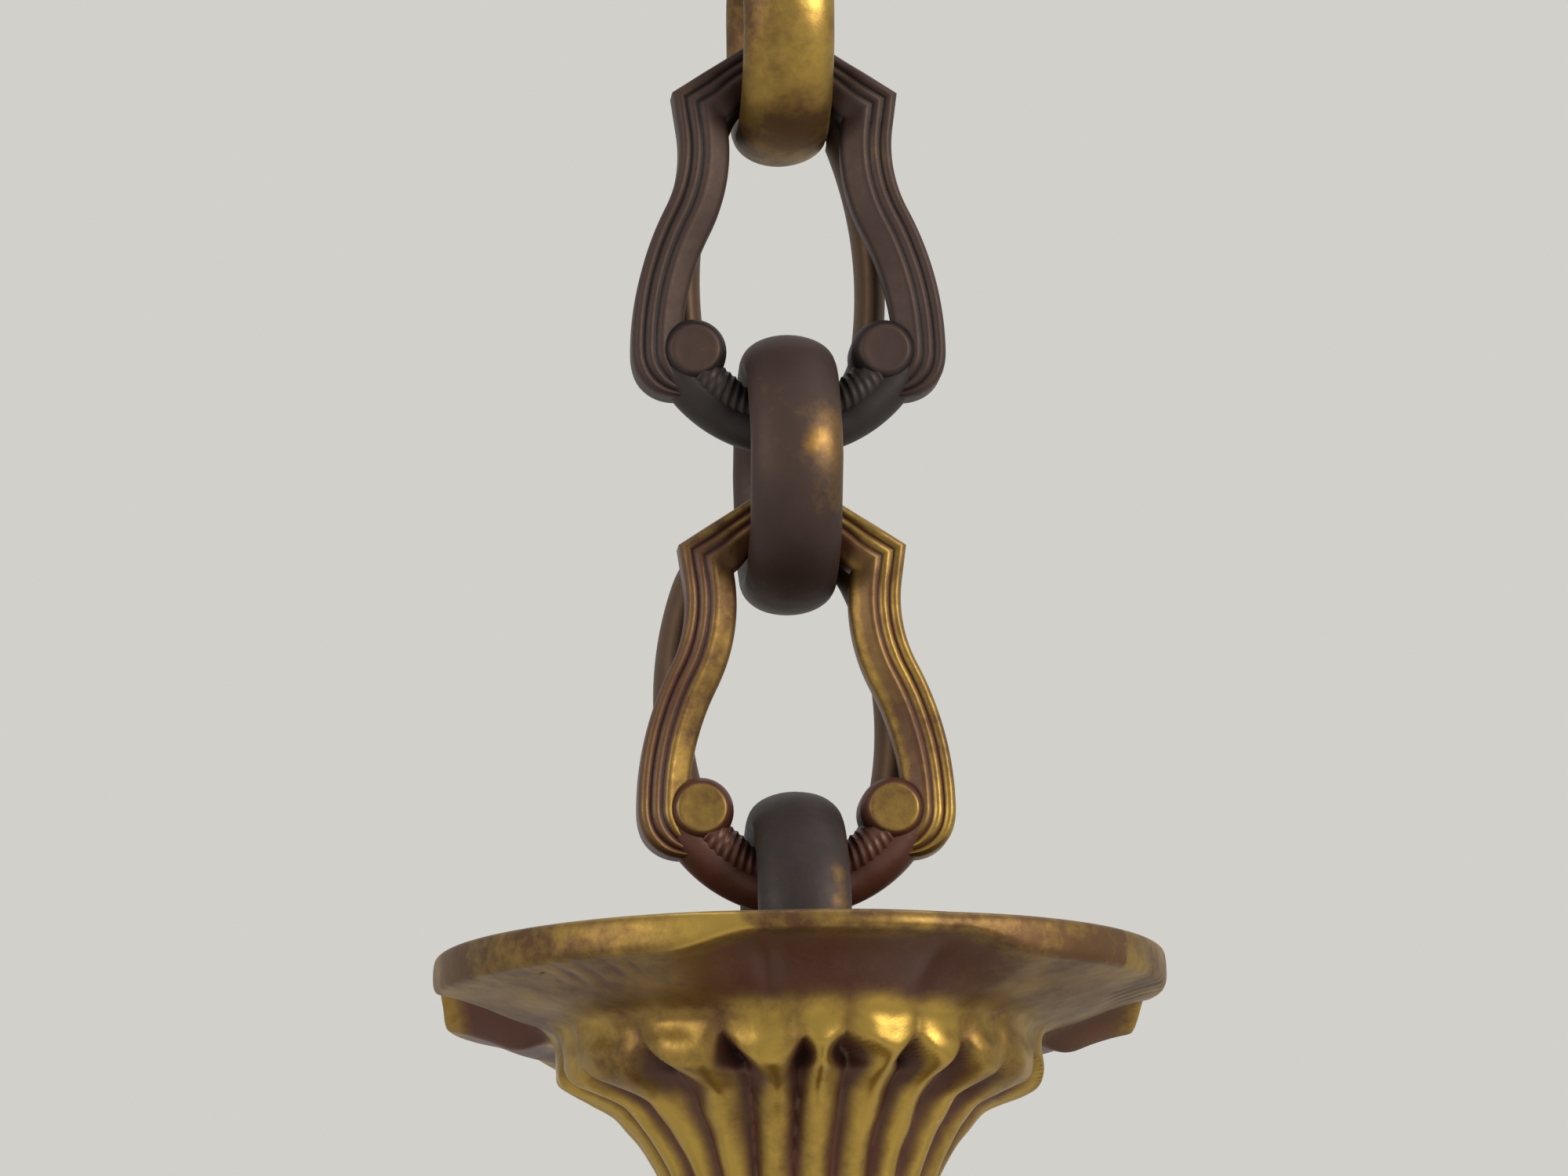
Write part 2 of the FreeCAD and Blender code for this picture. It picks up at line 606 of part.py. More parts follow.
pieces = {
    "ceiling_plate": ceiling_plate(),
    "ceiling_hook": ceiling_hook(),
    "hook_nut": hook_nut(),
    "suspension_eye": suspension_eye(),
    "crown_cup": crown_cup(),
    "tie_rod": tie_rod(),
    "neck_collar": collar(neck_collar_z),
    "baluster": baluster(),
    "hub_collar": collar(hub_collar_z),
    "arm_hub": arm_hub(),
    "arm_screws": arm_screws(),
    "lower_bowl": lower_bowl(),
    "finial": finial(),
}
for number, height in enumerate(ring_heights):
    pieces[f"ring_{number + 1}"] = suspension_ring(height)
for number in range(2):
    rings = ring_heights[number:number + 2]
    pieces[f"lyre_{number + 1}"] = lyre(*rings)
    pieces[f"oval_{number + 1}"] = oval(*rings, number)

one_arm = arm()
arm_tip = arm_path()[-1].lastVertex().Point
pan_seat = arm_tip + Vector(0, 0, arm_seat_height)
nozzle_seat = pan_seat + Vector(0, 0, pan_floor)
one_pan = drip_pan(pan_seat)
one_nozzle = candle_nozzle(nozzle_seat)
for number in range(arm_count):
    pieces[f"arm_{number + 1}"] = around(one_arm, number, arm_count)
    pieces[f"drip_pan_{number + 1}"] = around(one_pan, number, arm_count)
    pieces[f"candle_nozzle_{number + 1}"] = around(one_nozzle, number, arm_count)

os.makedirs("parts", exist_ok=True)
for name, shape in pieces.items():
    shape.exportStep(f"parts/{name}.step")
    state = "valid" if shape.isValid() else "NOT VALID"
    print(name, len(shape.Solids), round(shape.Volume / 1000, 2), "cm3", state)
print("rings at", [round(height, 3) for height in ring_heights], "lyre drop", round(lyre_drop, 3))
print("rim", round(cup_rim_z, 3), "eye", round(eye_z, 3), "arms", round(arm_z, 3))
print("pan seat", pan_seat, "nozzle seat", nozzle_seat)
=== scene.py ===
import bpy
import bmesh
import json
import math
from mathutils import Matrix, Vector, geometry, noise


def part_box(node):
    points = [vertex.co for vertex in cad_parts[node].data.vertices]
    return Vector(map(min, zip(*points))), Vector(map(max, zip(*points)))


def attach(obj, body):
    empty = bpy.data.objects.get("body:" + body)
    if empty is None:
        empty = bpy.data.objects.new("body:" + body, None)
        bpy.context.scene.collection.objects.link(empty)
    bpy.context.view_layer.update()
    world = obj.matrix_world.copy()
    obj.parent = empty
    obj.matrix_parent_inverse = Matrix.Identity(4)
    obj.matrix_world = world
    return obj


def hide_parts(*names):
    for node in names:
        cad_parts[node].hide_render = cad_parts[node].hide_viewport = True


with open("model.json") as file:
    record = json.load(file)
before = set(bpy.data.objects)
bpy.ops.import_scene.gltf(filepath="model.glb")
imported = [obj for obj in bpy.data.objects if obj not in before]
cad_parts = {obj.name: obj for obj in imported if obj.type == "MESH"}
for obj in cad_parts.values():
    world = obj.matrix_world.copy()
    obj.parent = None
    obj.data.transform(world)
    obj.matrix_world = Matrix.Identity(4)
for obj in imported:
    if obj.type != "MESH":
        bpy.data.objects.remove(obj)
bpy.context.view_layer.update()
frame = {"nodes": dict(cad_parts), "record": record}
print("frame loaded:", len(frame["nodes"]), "nodes")

mm = 0.001  # the tables of each piece are in millimetres
weldGap, fineWeld = 0.02 * mm, 0.01 * mm  # vertices closer than this are one


# colours and shader nodes

def linear(hexText):
    parts = [int(hexText[i:i + 2], 16) / 255 for i in (1, 3, 5)]
    return [c / 12.92 if c <= 0.04045 else ((c + 0.055) / 1.055) ** 2.4 for c in parts] + [1]


def addNode(tree, kind, links=None, **settings):
    node = tree.nodes.new(kind)
    for key, value in settings.items():
        setattr(node, key, value)
    for key, value in (links or {}).items():
        if isinstance(value, bpy.types.NodeSocket):
            tree.links.new(value, node.inputs[key])
        else:
            node.inputs[key].default_value = value
    return node


def rise(tree, value, low, high):
    # 0 at low and 1 at high
    return addNode(tree, "ShaderNodeMapRange", {
        "Value": value, "From Min": low, "From Max": high}).outputs[0]


def blend(tree, share, under, over):
    return addNode(tree, "ShaderNodeMix", {
        "Factor": share, "A": under, "B": over}, data_type="RGBA").outputs["Result"]


def castBronze(name, look):
    material = bpy.data.materials.new(name)
    material.use_nodes = True
    tree = material.node_tree
    tree.nodes.clear()
    place = addNode(tree, "ShaderNodeTexCoord").outputs["Object"]
    # masks laid on by each piece: dirt with painted shade in hollows, and rubbing with painted highlights
    hollow = addNode(tree, "ShaderNodeAttribute", attribute_name="hollow").outputs["Fac"]
    rubbedAndHighlight = addNode(tree, "ShaderNodeAttribute", attribute_name="rubbedAndHighlight").outputs["Fac"]
    # ambient occlusion paints shade into the corners
    corner = addNode(tree, "ShaderNodeAmbientOcclusion", {"Distance": look["cornerMm"] * mm}, samples=6)
    patches = addNode(tree, "ShaderNodeTexNoise", {
        "Vector": place, "Scale": 1000 / look["patchMm"], "Detail": 6, "Roughness": 0.62}).outputs["Fac"]
    specks = addNode(tree, "ShaderNodeTexNoise", {
        "Vector": place, "Scale": 1000 / look["speckMm"], "Detail": 3, "Roughness": 0.7}).outputs["Fac"]

    # grime and painted shade lie in hollows and corners, with a ragged edge; ambient occlusion paints the
    # corners' shade, and the deepest of it is painted black as soot and deep shade
    ragged = addNode(tree, "ShaderNodeMath", {
        0: specks, 1: look["speckGrime"], 2: hollow}, operation="MULTIPLY_ADD")
    shaded = addNode(tree, "ShaderNodeMapRange", {
        "Value": corner.outputs["AO"], "From Min": look["cornerClear"], "From Max": look["cornerFull"],
        "To Max": look["cornerShade"]})
    grimeAndShadeSum = addNode(tree, "ShaderNodeMath", {
        0: ragged.outputs[0], 1: shaded.outputs[0]}, operation="ADD").outputs[0]
    grimeAndShade = rise(tree, grimeAndShadeSum, look["grimeAndShadeFrom"], look["grimeAndShadeTo"])
    sootAndDeepShade = rise(tree, grimeAndShadeSum, look["sootAndDeepShadeFrom"], look["sootAndDeepShadeTo"])

    # bare metal shows in patches and where something rubs, and the rub mask also lays on painted highlights;
    # its brightest flecks are painted highlights, almost cream
    mottle = addNode(tree, "ShaderNodeMath", {
        0: specks, 1: look["speckWear"], 2: patches}, operation="MULTIPLY_ADD")
    wearAndPaintedLightSum = addNode(tree, "ShaderNodeMath", {0: mottle.outputs[0], 1: rubbedAndHighlight}, operation="ADD")
    wearAndPaintedLight = rise(tree, wearAndPaintedLightSum.outputs[0], look["wearAndPaintedLightFrom"], look["wearAndPaintedLightTo"])
    fleckAndHighlightSum = addNode(tree, "ShaderNodeMath", {0: specks, 1: rubbedAndHighlight}, operation="ADD")
    fleckAndHighlight = rise(tree, fleckAndHighlightSum.outputs[0], look["fleckAndHighlightFrom"], look["fleckAndHighlightTo"])
    colour = blend(tree, patches, linear(look["skinDark"]), linear(look["skinPale"]))
    layers = [(wearAndPaintedLight, "metal"), (fleckAndHighlight, "fleckAndHighlight"), (grimeAndShade, "grimeAndShade"), (sootAndDeepShade, "sootAndDeepShade")]
    for share, layer in layers:
        colour = blend(tree, share, colour, linear(look[layer]))

    # grime and painted shade hide the metal's shine, and bare metal is smoother than the skin on it
    clearOfGrimeAndShade = addNode(tree, "ShaderNodeMapRange", {
        "Value": grimeAndShade, "To Min": 1.0, "To Max": look["metallicGrimeAndShade"]})
    metal = addNode(tree, "ShaderNodeMapRange", {
        "Value": wearAndPaintedLight, "To Min": look["metallicSkin"], "To Max": look["metallicBare"]})
    metallic = addNode(tree, "ShaderNodeMath", {
        0: clearOfGrimeAndShade.outputs[0], 1: metal.outputs[0]}, operation="MULTIPLY")
    rough = addNode(tree, "ShaderNodeMapRange", {
        "Value": wearAndPaintedLight, "To Min": look["roughSkin"], "To Max": look["roughMetal"]})
    rougher = addNode(tree, "ShaderNodeMath", {
        0: specks, 1: look["speckRough"], 2: rough.outputs[0]}, operation="MULTIPLY_ADD")

    # cast skin: shallow dents under fine pitting
    dents = addNode(tree, "ShaderNodeTexNoise", {
        "Vector": place, "Scale": 1000 / look["dentMm"], "Detail": 2}).outputs["Fac"]
    dentBump = addNode(tree, "ShaderNodeBump", {
        "Height": dents, "Strength": look["dentBump"], "Distance": look["dentDepth"] * mm})
    pitBump = addNode(tree, "ShaderNodeBump", {
        "Height": specks, "Strength": look["pitBump"], "Distance": look["pitDepth"] * mm,
        "Normal": dentBump.outputs[0]})
    shader = addNode(tree, "ShaderNodeBsdfPrincipled", {
        "Base Color": colour, "Metallic": metallic.outputs[0],
        "Roughness": rougher.outputs[0], "Normal": pitBump.outputs[0]})
    addNode(tree, "ShaderNodeOutputMaterial", {"Surface": shader.outputs[0]})
    return material


# fire-gilt cast bronze: yellow where the gilding is rubbed bright, red-brown where it has gone
giltLook = {
    "metal": "#ac9048", "skinDark": "#452d1c", "skinPale": "#785a34",
    # the grime and soot colours also paint shade, and the fleck colour paints highlights
    "grimeAndShade": "#543024", "sootAndDeepShade": "#2a1915", "fleckAndHighlight": "#d2c27c",
    "metallicSkin": 0.6, "metallicBare": 0.95, "metallicGrimeAndShade": 0.2,
    "roughSkin": 0.42, "roughMetal": 0.29, "speckRough": 0.16,
    "patchMm": 15, "speckMm": 2.2, "speckWear": 0.35, "speckGrime": 0.5,
    "wearAndPaintedLightFrom": 0.56, "wearAndPaintedLightTo": 1.0, "fleckAndHighlightFrom": 1.12, "fleckAndHighlightTo": 1.3,
    "grimeAndShadeFrom": 0.56, "grimeAndShadeTo": 1.12, "sootAndDeepShadeFrom": 1.37, "sootAndDeepShadeTo": 1.9,
    "cornerMm": 5, "cornerClear": 0.8, "cornerFull": 0.25, "cornerShade": 0.7,
    "dentMm": 7, "dentDepth": 0.6, "dentBump": 0.36, "pitDepth": 0.15, "pitBump": 0.34,
}
# cast bronze with a brown-black patina: dull purple-brown, with a few patches rubbed to metal
darkLook = dict(giltLook, metal="#7d6236", skinDark="#2f2220", skinPale="#503e38",
                # here too the grime and soot colours also paint shade, and the fleck colour paints highlights
                grimeAndShade="#1e1516", sootAndDeepShade="#141011", fleckAndHighlight="#cfb98a",
                metallicSkin=0.42, metallicBare=0.85, roughSkin=0.47, roughMetal=0.34,
                patchMm=18, speckMm=2.0, wearAndPaintedLightFrom=0.80, wearAndPaintedLightTo=1.15, grimeAndShadeFrom=0.62, grimeAndShadeTo=1.2,
                dentMm=8, dentBump=0.24, pitBump=0.24)
# plain bronze strap, brown and evenly rubbed
strapLook = dict(darkLook, metal="#7a5f3a", skinDark="#443024", skinPale="#674f38")
# blackened iron of the rod and the screws
ironLook = dict(darkLook, metal="#5a5652", skinDark="#2a2826", skinPale="#3b3835", grimeAndShade="#181512",
                roughSkin=0.55)

giltBronze = castBronze("wornGiltBronze", giltLook)
darkBronze = castBronze("darkPatinatedBronze", darkLook)
strapBronze = castBronze("brownStrapBronze", strapLook)
blackIron = castBronze("blackenedIron", ironLook)
print("materials ready")


# pieces

def finishPiece(bm, name, material, body, nodes, sharpAngle=40):
    bmesh.ops.remove_doubles(bm, verts=bm.verts, dist=weldGap)
    bmesh.ops.recalc_face_normals(bm, faces=bm.faces)
    mesh = bpy.data.meshes.new(name)
    bm.to_mesh(mesh)
    bm.free()
    mesh.polygons.foreach_set("use_smooth", [True] * len(mesh.polygons))
    mesh.set_sharp_from_angle(angle=math.radians(sharpAngle))
    piece = bpy.data.objects.new(name, mesh)
    bpy.context.scene.collection.objects.link(piece)
    mesh.materials.append(material)
    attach(piece, body)
    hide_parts(*nodes)
    print("made", name, len(mesh.polygons), "faces")


def smooth(low, high, value):
    t = min(1, max(0, (value - low) / (high - low)))
    return t * t * (3 - 2 * t)


def smoothLine(points, steps):
    # a smooth line through the points, with even tangents at each of them
    spots = [Vector((p[0], p[1], 0)) for p in points]
    line = []
    for i in range(len(spots) - 1):
        before = spots[max(i - 1, 0)]
        after = spots[min(i + 2, len(spots) - 1)]
        a, b = spots[i], spots[i + 1]
        handleA = a + (b - before) / 6
        handleB = b - (after - a) / 6
        line += geometry.interpolate_bezier(a, handleA, handleB, b, steps + 1)[:-1]
    line.append(spots[-1])
    return [(p.x, p.y) for p in line]


def walkLine(x, z, heading, moves, step):
    # stations along straight runs (length, 0) and tangent bends (radius, turn): x, z, heading
    stations = [(x, z, heading)]
    for size, turn in moves:
        length = size if turn == 0 else abs(math.radians(turn)) * size
        count = max(1, round(length / step))
        for i in range(count):
            bend = turn / count
            chord = length / count if turn == 0 else 2 * size * math.sin(abs(math.radians(bend)) / 2)
            facing = math.radians(heading + bend / 2)
            x += chord * math.cos(facing)
            z += chord * math.sin(facing)
            heading += bend
            stations.append((x, z, heading))
    return stations


def middleZ(node):
    low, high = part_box(node)
    return (low[2] + high[2]) / 2 / mm


def onlyVerts(geom):
    return [g for g in geom if isinstance(g, bmesh.types.BMVert)]


def addLayers(bm, *names):
    # a new layer makes older handles useless, so the handles are read last
    layers = bm.verts.layers.float
    for name in names:
        if name not in layers.keys():
            layers.new(name)
    return [layers[name] for name in names]


def sweepSection(bm, section, places):
    # extrudes the section's outline from place to place and closes both ends; a place is a 4x4 matrix
    hollowLayer, acrossLayer = addLayers(bm, "hollow", "across")
    first = []
    for across, depth, hollow in section:
        vert = bm.verts.new((across, depth, 0))
        vert[hollowLayer] = hollow
        vert[acrossLayer] = across
        first.append(vert)
    edges = [bm.edges.new((first[i - 1], first[i])) for i in range(len(first))]
    bmesh.ops.transform(bm, matrix=places[0], verts=first)
    start = edges
    for before, after in zip(places, places[1:]):
        grown = bmesh.ops.extrude_edge_only(bm, edges=edges)["geom"]
        verts = onlyVerts(grown)
        fresh = set(verts)
        edges = [g for g in grown if isinstance(g, bmesh.types.BMEdge) and fresh.issuperset(g.verts)]
        bmesh.ops.transform(bm, matrix=after @ before.inverted(), verts=verts)
    for end in (start, edges):
        bmesh.ops.edgeloop_fill(bm, edges=end)


def sectionPlace(x, y, z, across, widen=1.0, deepen=1.0):
    # section plane square to the XZ plane: its first axis points along across (degrees), its second along Y
    angle = math.radians(across)
    u = Vector((math.cos(angle), 0, math.sin(angle)))
    v = Vector((0, 1, 0))
    w = u.cross(v)
    turn = Matrix((u * widen, v * deepen, w)).transposed().to_4x4()
    return Matrix.Translation((x * mm, y * mm, z * mm)) @ turn @ Matrix.Scale(mm, 4)


# the photograph's view: from below and a little to the left, with a long lens

viewOf = {
    "target": (-0.9, 0, -181.4), "azimuth": -5, "elevation": -11, "roll": -1.0,
    "distance": 1150, "lens": 157, "sensor": 36, "nearest": 10,
}
azimuth = math.radians(viewOf["azimuth"])
elevation = math.radians(viewOf["elevation"])
target = Vector(viewOf["target"]) * mm
outward = Vector((math.sin(azimuth), -math.cos(azimuth), math.tan(elevation))).normalized()
camera = bpy.data.objects.new("camera", bpy.data.cameras.new("camera"))
camera.data.lens = viewOf["lens"]
camera.data.sensor_width = viewOf["sensor"]
camera.data.clip_start = viewOf["nearest"] * mm
facing = outward.to_track_quat("Z", "Y").to_matrix().to_4x4()
camera.matrix_world = (Matrix.Translation(target + outward * viewOf["distance"] * mm) @ facing
                       @ Matrix.Rotation(math.radians(viewOf["roll"]), 4, "Z"))
bpy.context.scene.collection.objects.link(camera)
bpy.context.scene.camera = camera


# pale room: floor well below the finial, soft light from both sides and above

# floor sizes and lamps are in metres; fill is the share of the wall's light that reaches the object
room = {
    "wall": "#d2d0cb", "fill": 0.62, "floorDrop": 1.5, "floorSize": 14, "floorGlow": 0.5, "floorRough": 0.8,
}


def seenRays(tree):
    # 1 for rays from the eye, direct or by way of metal, and 0 for light that falls on the object
    rays = addNode(tree, "ShaderNodeLightPath").outputs
    mirrored = addNode(tree, "ShaderNodeMath", {
        0: rays["Is Glossy Ray"], 1: rays["Is Transmission Ray"]}, operation="MAXIMUM")
    return addNode(tree, "ShaderNodeMath", {
        0: rays["Is Camera Ray"], 1: mirrored.outputs[0]}, operation="MAXIMUM").outputs[0]


bm = bmesh.new()
bmesh.ops.create_grid(bm, x_segments=1, y_segments=1, size=room["floorSize"] / 2,
                      matrix=Matrix.Translation((0, 0, -room["floorDrop"])))
floorMesh = bpy.data.meshes.new("floor")
bm.to_mesh(floorMesh)
bm.free()
floor = bpy.data.objects.new("floor", floorMesh)
bpy.context.scene.collection.objects.link(floor)
floorPaint = bpy.data.materials.new("paleFloorPaint")
floorPaint.use_nodes = True
floorShader = floorPaint.node_tree.nodes["Principled BSDF"]
floorShader.inputs["Base Color"].default_value = linear(room["wall"])
floorShader.inputs["Roughness"].default_value = room["floorRough"]
floorShader.inputs["Emission Color"].default_value = linear(room["wall"])
glow = addNode(floorPaint.node_tree, "ShaderNodeMath", {
    0: seenRays(floorPaint.node_tree), 1: room["floorGlow"]}, operation="MULTIPLY")
floorPaint.node_tree.links.new(glow.outputs[0], floorShader.inputs["Emission Strength"])
floorMesh.materials.append(floorPaint)

world = bpy.data.worlds.new("paleRoom")
world.use_nodes = True
bpy.context.scene.world = world
sky = world.node_tree
sky.nodes.clear()
dim = addNode(sky, "ShaderNodeBackground", {"Color": linear(room["wall"]), "Strength": room["fill"]})
wall = addNode(sky, "ShaderNodeBackground", {"Color": linear(room["wall"]), "Strength": 1.0})
both = addNode(sky, "ShaderNodeMixShader", {0: seenRays(sky), 1: dim.outputs[0], 2: wall.outputs[0]})
addNode(sky, "ShaderNodeOutputWorld", {"Surface": both.outputs[0]})

lamps = [
    {"name": "windowRight", "at": (1.7, -1.5, 0.5), "size": 1.0, "watts": 36, "colour": "#fff3e2"},
    {"name": "windowLeft", "at": (-1.9, -1.2, 0.2), "size": 0.9, "watts": 14, "colour": "#fff4e4"},
    {"name": "above", "at": (0.2, 0.3, 1.6), "size": 1.6, "watts": 14, "colour": "#ffffff"},
]
for lamp in lamps:
    light = bpy.data.lights.new(lamp["name"], "AREA")
    light.shape = "DISK"
    light.size = lamp["size"]
    light.energy = lamp["watts"]
    light.color = linear(lamp["colour"])[:3]
    lampObject = bpy.data.objects.new(lamp["name"], light)
    spot = Vector(lamp["at"])
    aim = (spot - target).to_track_quat("Z", "Y").to_matrix().to_4x4()
    lampObject.matrix_world = Matrix.Translation(spot) @ aim
    bpy.context.scene.collection.objects.link(lampObject)
bpy.context.scene.view_settings.view_transform = "Standard"
print("camera and light ready")


# rings: cast, slightly uneven, worn bright in places, with painted highlights and painted shade

ringLook = {
    "centre": 19.0, "halfWidth": 7.75, "halfThick": 4.75, "around": 128, "across": 40,
    "dent": 0.22, "dentMm": 11, "dentShift": 90, "rubAndHighlightClears": 2,
}
# dirt with painted shade all over, and where each ring is rubbed to metal and carries a painted highlight, a
# negative strength painting shade: place from its middle, reach, strength
rings = [
    {"node": "ring_1", "material": giltBronze, "slot": "worn_gilt_bronze", "dirtAndShade": 0.0,
     "rubsAndHighlights": [((3.0, -23.0, 6.0), 14.0, 0.6), ((2.0, -20.0, -12.0), 12.0, 0.36),
              ((-7.0, -20.0, 0.0), 10.0, -0.1), ((0.0, -9.0, -21.5), 10.0, -0.3)]},
    {"node": "ring_2", "material": darkBronze, "slot": "dark_patinated_bronze", "dirtAndShade": 0.05,
     "rubsAndHighlights": [((6.6, -21.5, 4.0), 8.0, 0.2), ((6.8, -21.0, -3.0), 8.0, 0.24), ((7.0, -18.9, -9.5), 8.0, 0.24),
              ((3.2, -23.2, 1.5), 2.8, 0.4), ((1.6, -23.4, 0.0), 1.8, 0.4)]},
    {"node": "ring_3", "material": darkBronze, "slot": "dark_patinated_bronze", "dirtAndShade": 0.85,
     "rubsAndHighlights": [((5.6, -21.0, 7.0), 3.6, 0.5), ((5.6, -22.0, 2.5), 3.6, 0.5)]},
]


def makeRing(ring):
    low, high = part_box(ring["node"])
    middle = (Vector(low) + Vector(high)) / 2
    bm = bmesh.new()
    hollowLayer, rubAndHighlightLayer = addLayers(bm, "hollow", "rubbedAndHighlight")
    bmesh.ops.create_circle(bm, segments=ringLook["across"], radius=1)
    bmesh.ops.scale(bm, vec=(ringLook["halfWidth"] * mm, ringLook["halfThick"] * mm, 1), verts=bm.verts)
    bmesh.ops.translate(bm, vec=(0, ringLook["centre"] * mm, 0), verts=bm.verts)
    bmesh.ops.spin(bm, geom=bm.verts[:] + bm.edges[:], cent=(0, 0, 0), axis=(1, 0, 0),
                   angle=2 * math.pi, steps=ringLook["around"], use_merge=True)
    bmesh.ops.remove_doubles(bm, verts=bm.verts, dist=weldGap)
    bmesh.ops.recalc_face_normals(bm, faces=bm.faces)
    bm.normal_update()
    for vert in bm.verts:
        spot = vert.co / (ringLook["dentMm"] * mm) + middle * ringLook["dentShift"]
        rubAndHighlight = sum(weight * max(0, 1 - (vert.co / mm - Vector(at)).length / reach)
                  for at, reach, weight in ring["rubsAndHighlights"])
        cleared = min(1, max(0, ringLook["rubAndHighlightClears"] * rubAndHighlight))  # rubbing and painted highlights take the dirt and painted shade off
        vert[rubAndHighlightLayer] = rubAndHighlight
        vert[hollowLayer] = ring["dirtAndShade"] * (1 - cleared)
        vert.co -= vert.normal * ringLook["dent"] * mm * abs(noise.noise(spot))
    bmesh.ops.translate(bm, vec=middle, verts=bm.verts)
    finishPiece(bm, ring["node"] + "_cast", ring["material"], ring["node"], [ring["node"]])


for ring in rings:
    makeRing(ring)


# lyre links: moulded bands that run over mitred shoulders into volutes, above a bowed tail with ridged cuffs

lyreShape = {
    "offsetY": -5.05, "drop": 7.997, "gable": 33.0, "peakBend": 9.0, "waistHalf": 13.7, "waistDrop": 15.0,
    "waistBend": 28.0, "lean": 8.0, "flare": 27.0, "bellyBend": 50.0, "tailBend": 19.5, "tailSpread": 62.0,
    "step": 0.9, "cornerGap": 2.9, "bandEdge": 4.3, "tailEdge": 5.8,
    "ringScale": 0.88, "ringFrom": 8.0, "ringTo": 12.0,
    "scrollBend": 6.2, "scrollShrink": 0.86, "scrollStep": 0.6, "scrollTaper": 0.72,
    "taperOver": (0.12, 0.78), "drumSteps": 48, "drumEdge": (3.7, 4.6), "drumDirtAndShade": 1.15,
    "cuffFrom": 60.0, "cuffTo": 20.0, "cuffStep": 0.3, "cuffEnds": 0.8, "cuffDirtAndShade": 0.8,
    "ridgePitch": 1.5, "ridgeSlant": -0.3, "ridgeDepth": 0.32, "ridgeDirtAndShade": 0.5,
}
# painted light and shade of the arms, as from a lamp on the right: places across the band in mm, and heights
# as a share of the way from volute to shoulder
lyreShadeAndHighlights = {
    "face": (-0.3, 0.8), "inner": (2.8, 3.6), "fade": (0.4, 0.85), "gable": (1.0, 1.1),
    "rightFaceShade": 0.55, "rightRollHighlight": 0.1, "rightInnerHighlight": 0.1,
    "leftRollShade": 0.62, "leftFaceShade": 0.35, "leftFaceHighlight": 0.02, "gableLighter": 0.6,
}
# front of the band, from outside to inside: a roll, a thin bead between two grooves, a broad sloping face;
# each point is its place across, its depth and its dirt with painted shade
bandFront = [
    (-4.3, -1.2, 0.5), (-4.3, -2.6, 0.45), (-4.15, -3.3, 0.25), (-3.8, -3.9, 0.0), (-3.3, -4.2, 0.0),
    (-2.8, -4.05, 0.0), (-2.45, -3.7, 0.45), (-2.25, -3.5, 0.9), (-2.0, -3.65, 0.6), (-1.65, -4.0, 0.05),
    (-1.25, -4.15, 0.0), (-0.85, -4.0, 0.1), (-0.55, -3.7, 0.6), (-0.3, -3.55, 0.9), (0.0, -3.75, 0.6),
    (0.4, -4.1, 0.05), (0.8, -4.2, 0.0), (1.4, -3.9, 0.0), (2.4, -3.3, 0.0), (3.4, -2.7, 0.0),
    (3.9, -2.35, 0.1), (4.2, -1.9, 0.4), (4.3, -1.0, 0.8),
]
bandSection = bandFront + [(u, -v, h) for u, v, h in reversed(bandFront)]
# volute button: radius, and how far behind the band's middle
drumTurn = [(0, -4.85), (2.4, -4.85), (3.6, -4.95), (4.1, -4.8), (4.7, -4.2), (5.2, -3.2), (5.5, -1.8),
            (5.5, 3.6), (5.0, 4.5), (0, 4.7)]


def ovalSection(middle, halfAcross, halfDeep, hollow, count):
    turns = [2 * math.pi * i / count for i in range(count)]
    return [(middle + halfAcross * math.cos(a), halfDeep * math.sin(a), hollow) for a in turns]


# the tail and the cuffs are painted dark with dirt and painted shade, the tail darkest
tailSection = ovalSection(middle=-1.9, halfAcross=3.9, halfDeep=4.1, hollow=1.1, count=28)
cuffSection = ovalSection(middle=1.0, halfAcross=3.5, halfDeep=4.7, hollow=0.4, count=36)


def nearRing(x):
    # the bar is slimmer where it lies inside the ring
    s = lyreShape
    return s["ringScale"] + (1 - s["ringScale"]) * smooth(s["ringFrom"], s["ringTo"], abs(x))


def slimPlace(x, z, heading, outerEdge):
    # the outer edge stays where it is, and the inner side gives way
    size, angle = nearRing(x), math.radians(heading - 90)
    shift = outerEdge * (1 - size)
    return sectionPlace(x - shift * math.cos(angle), lyreShape["offsetY"], z - shift * math.sin(angle),
                        heading - 90, size, size)


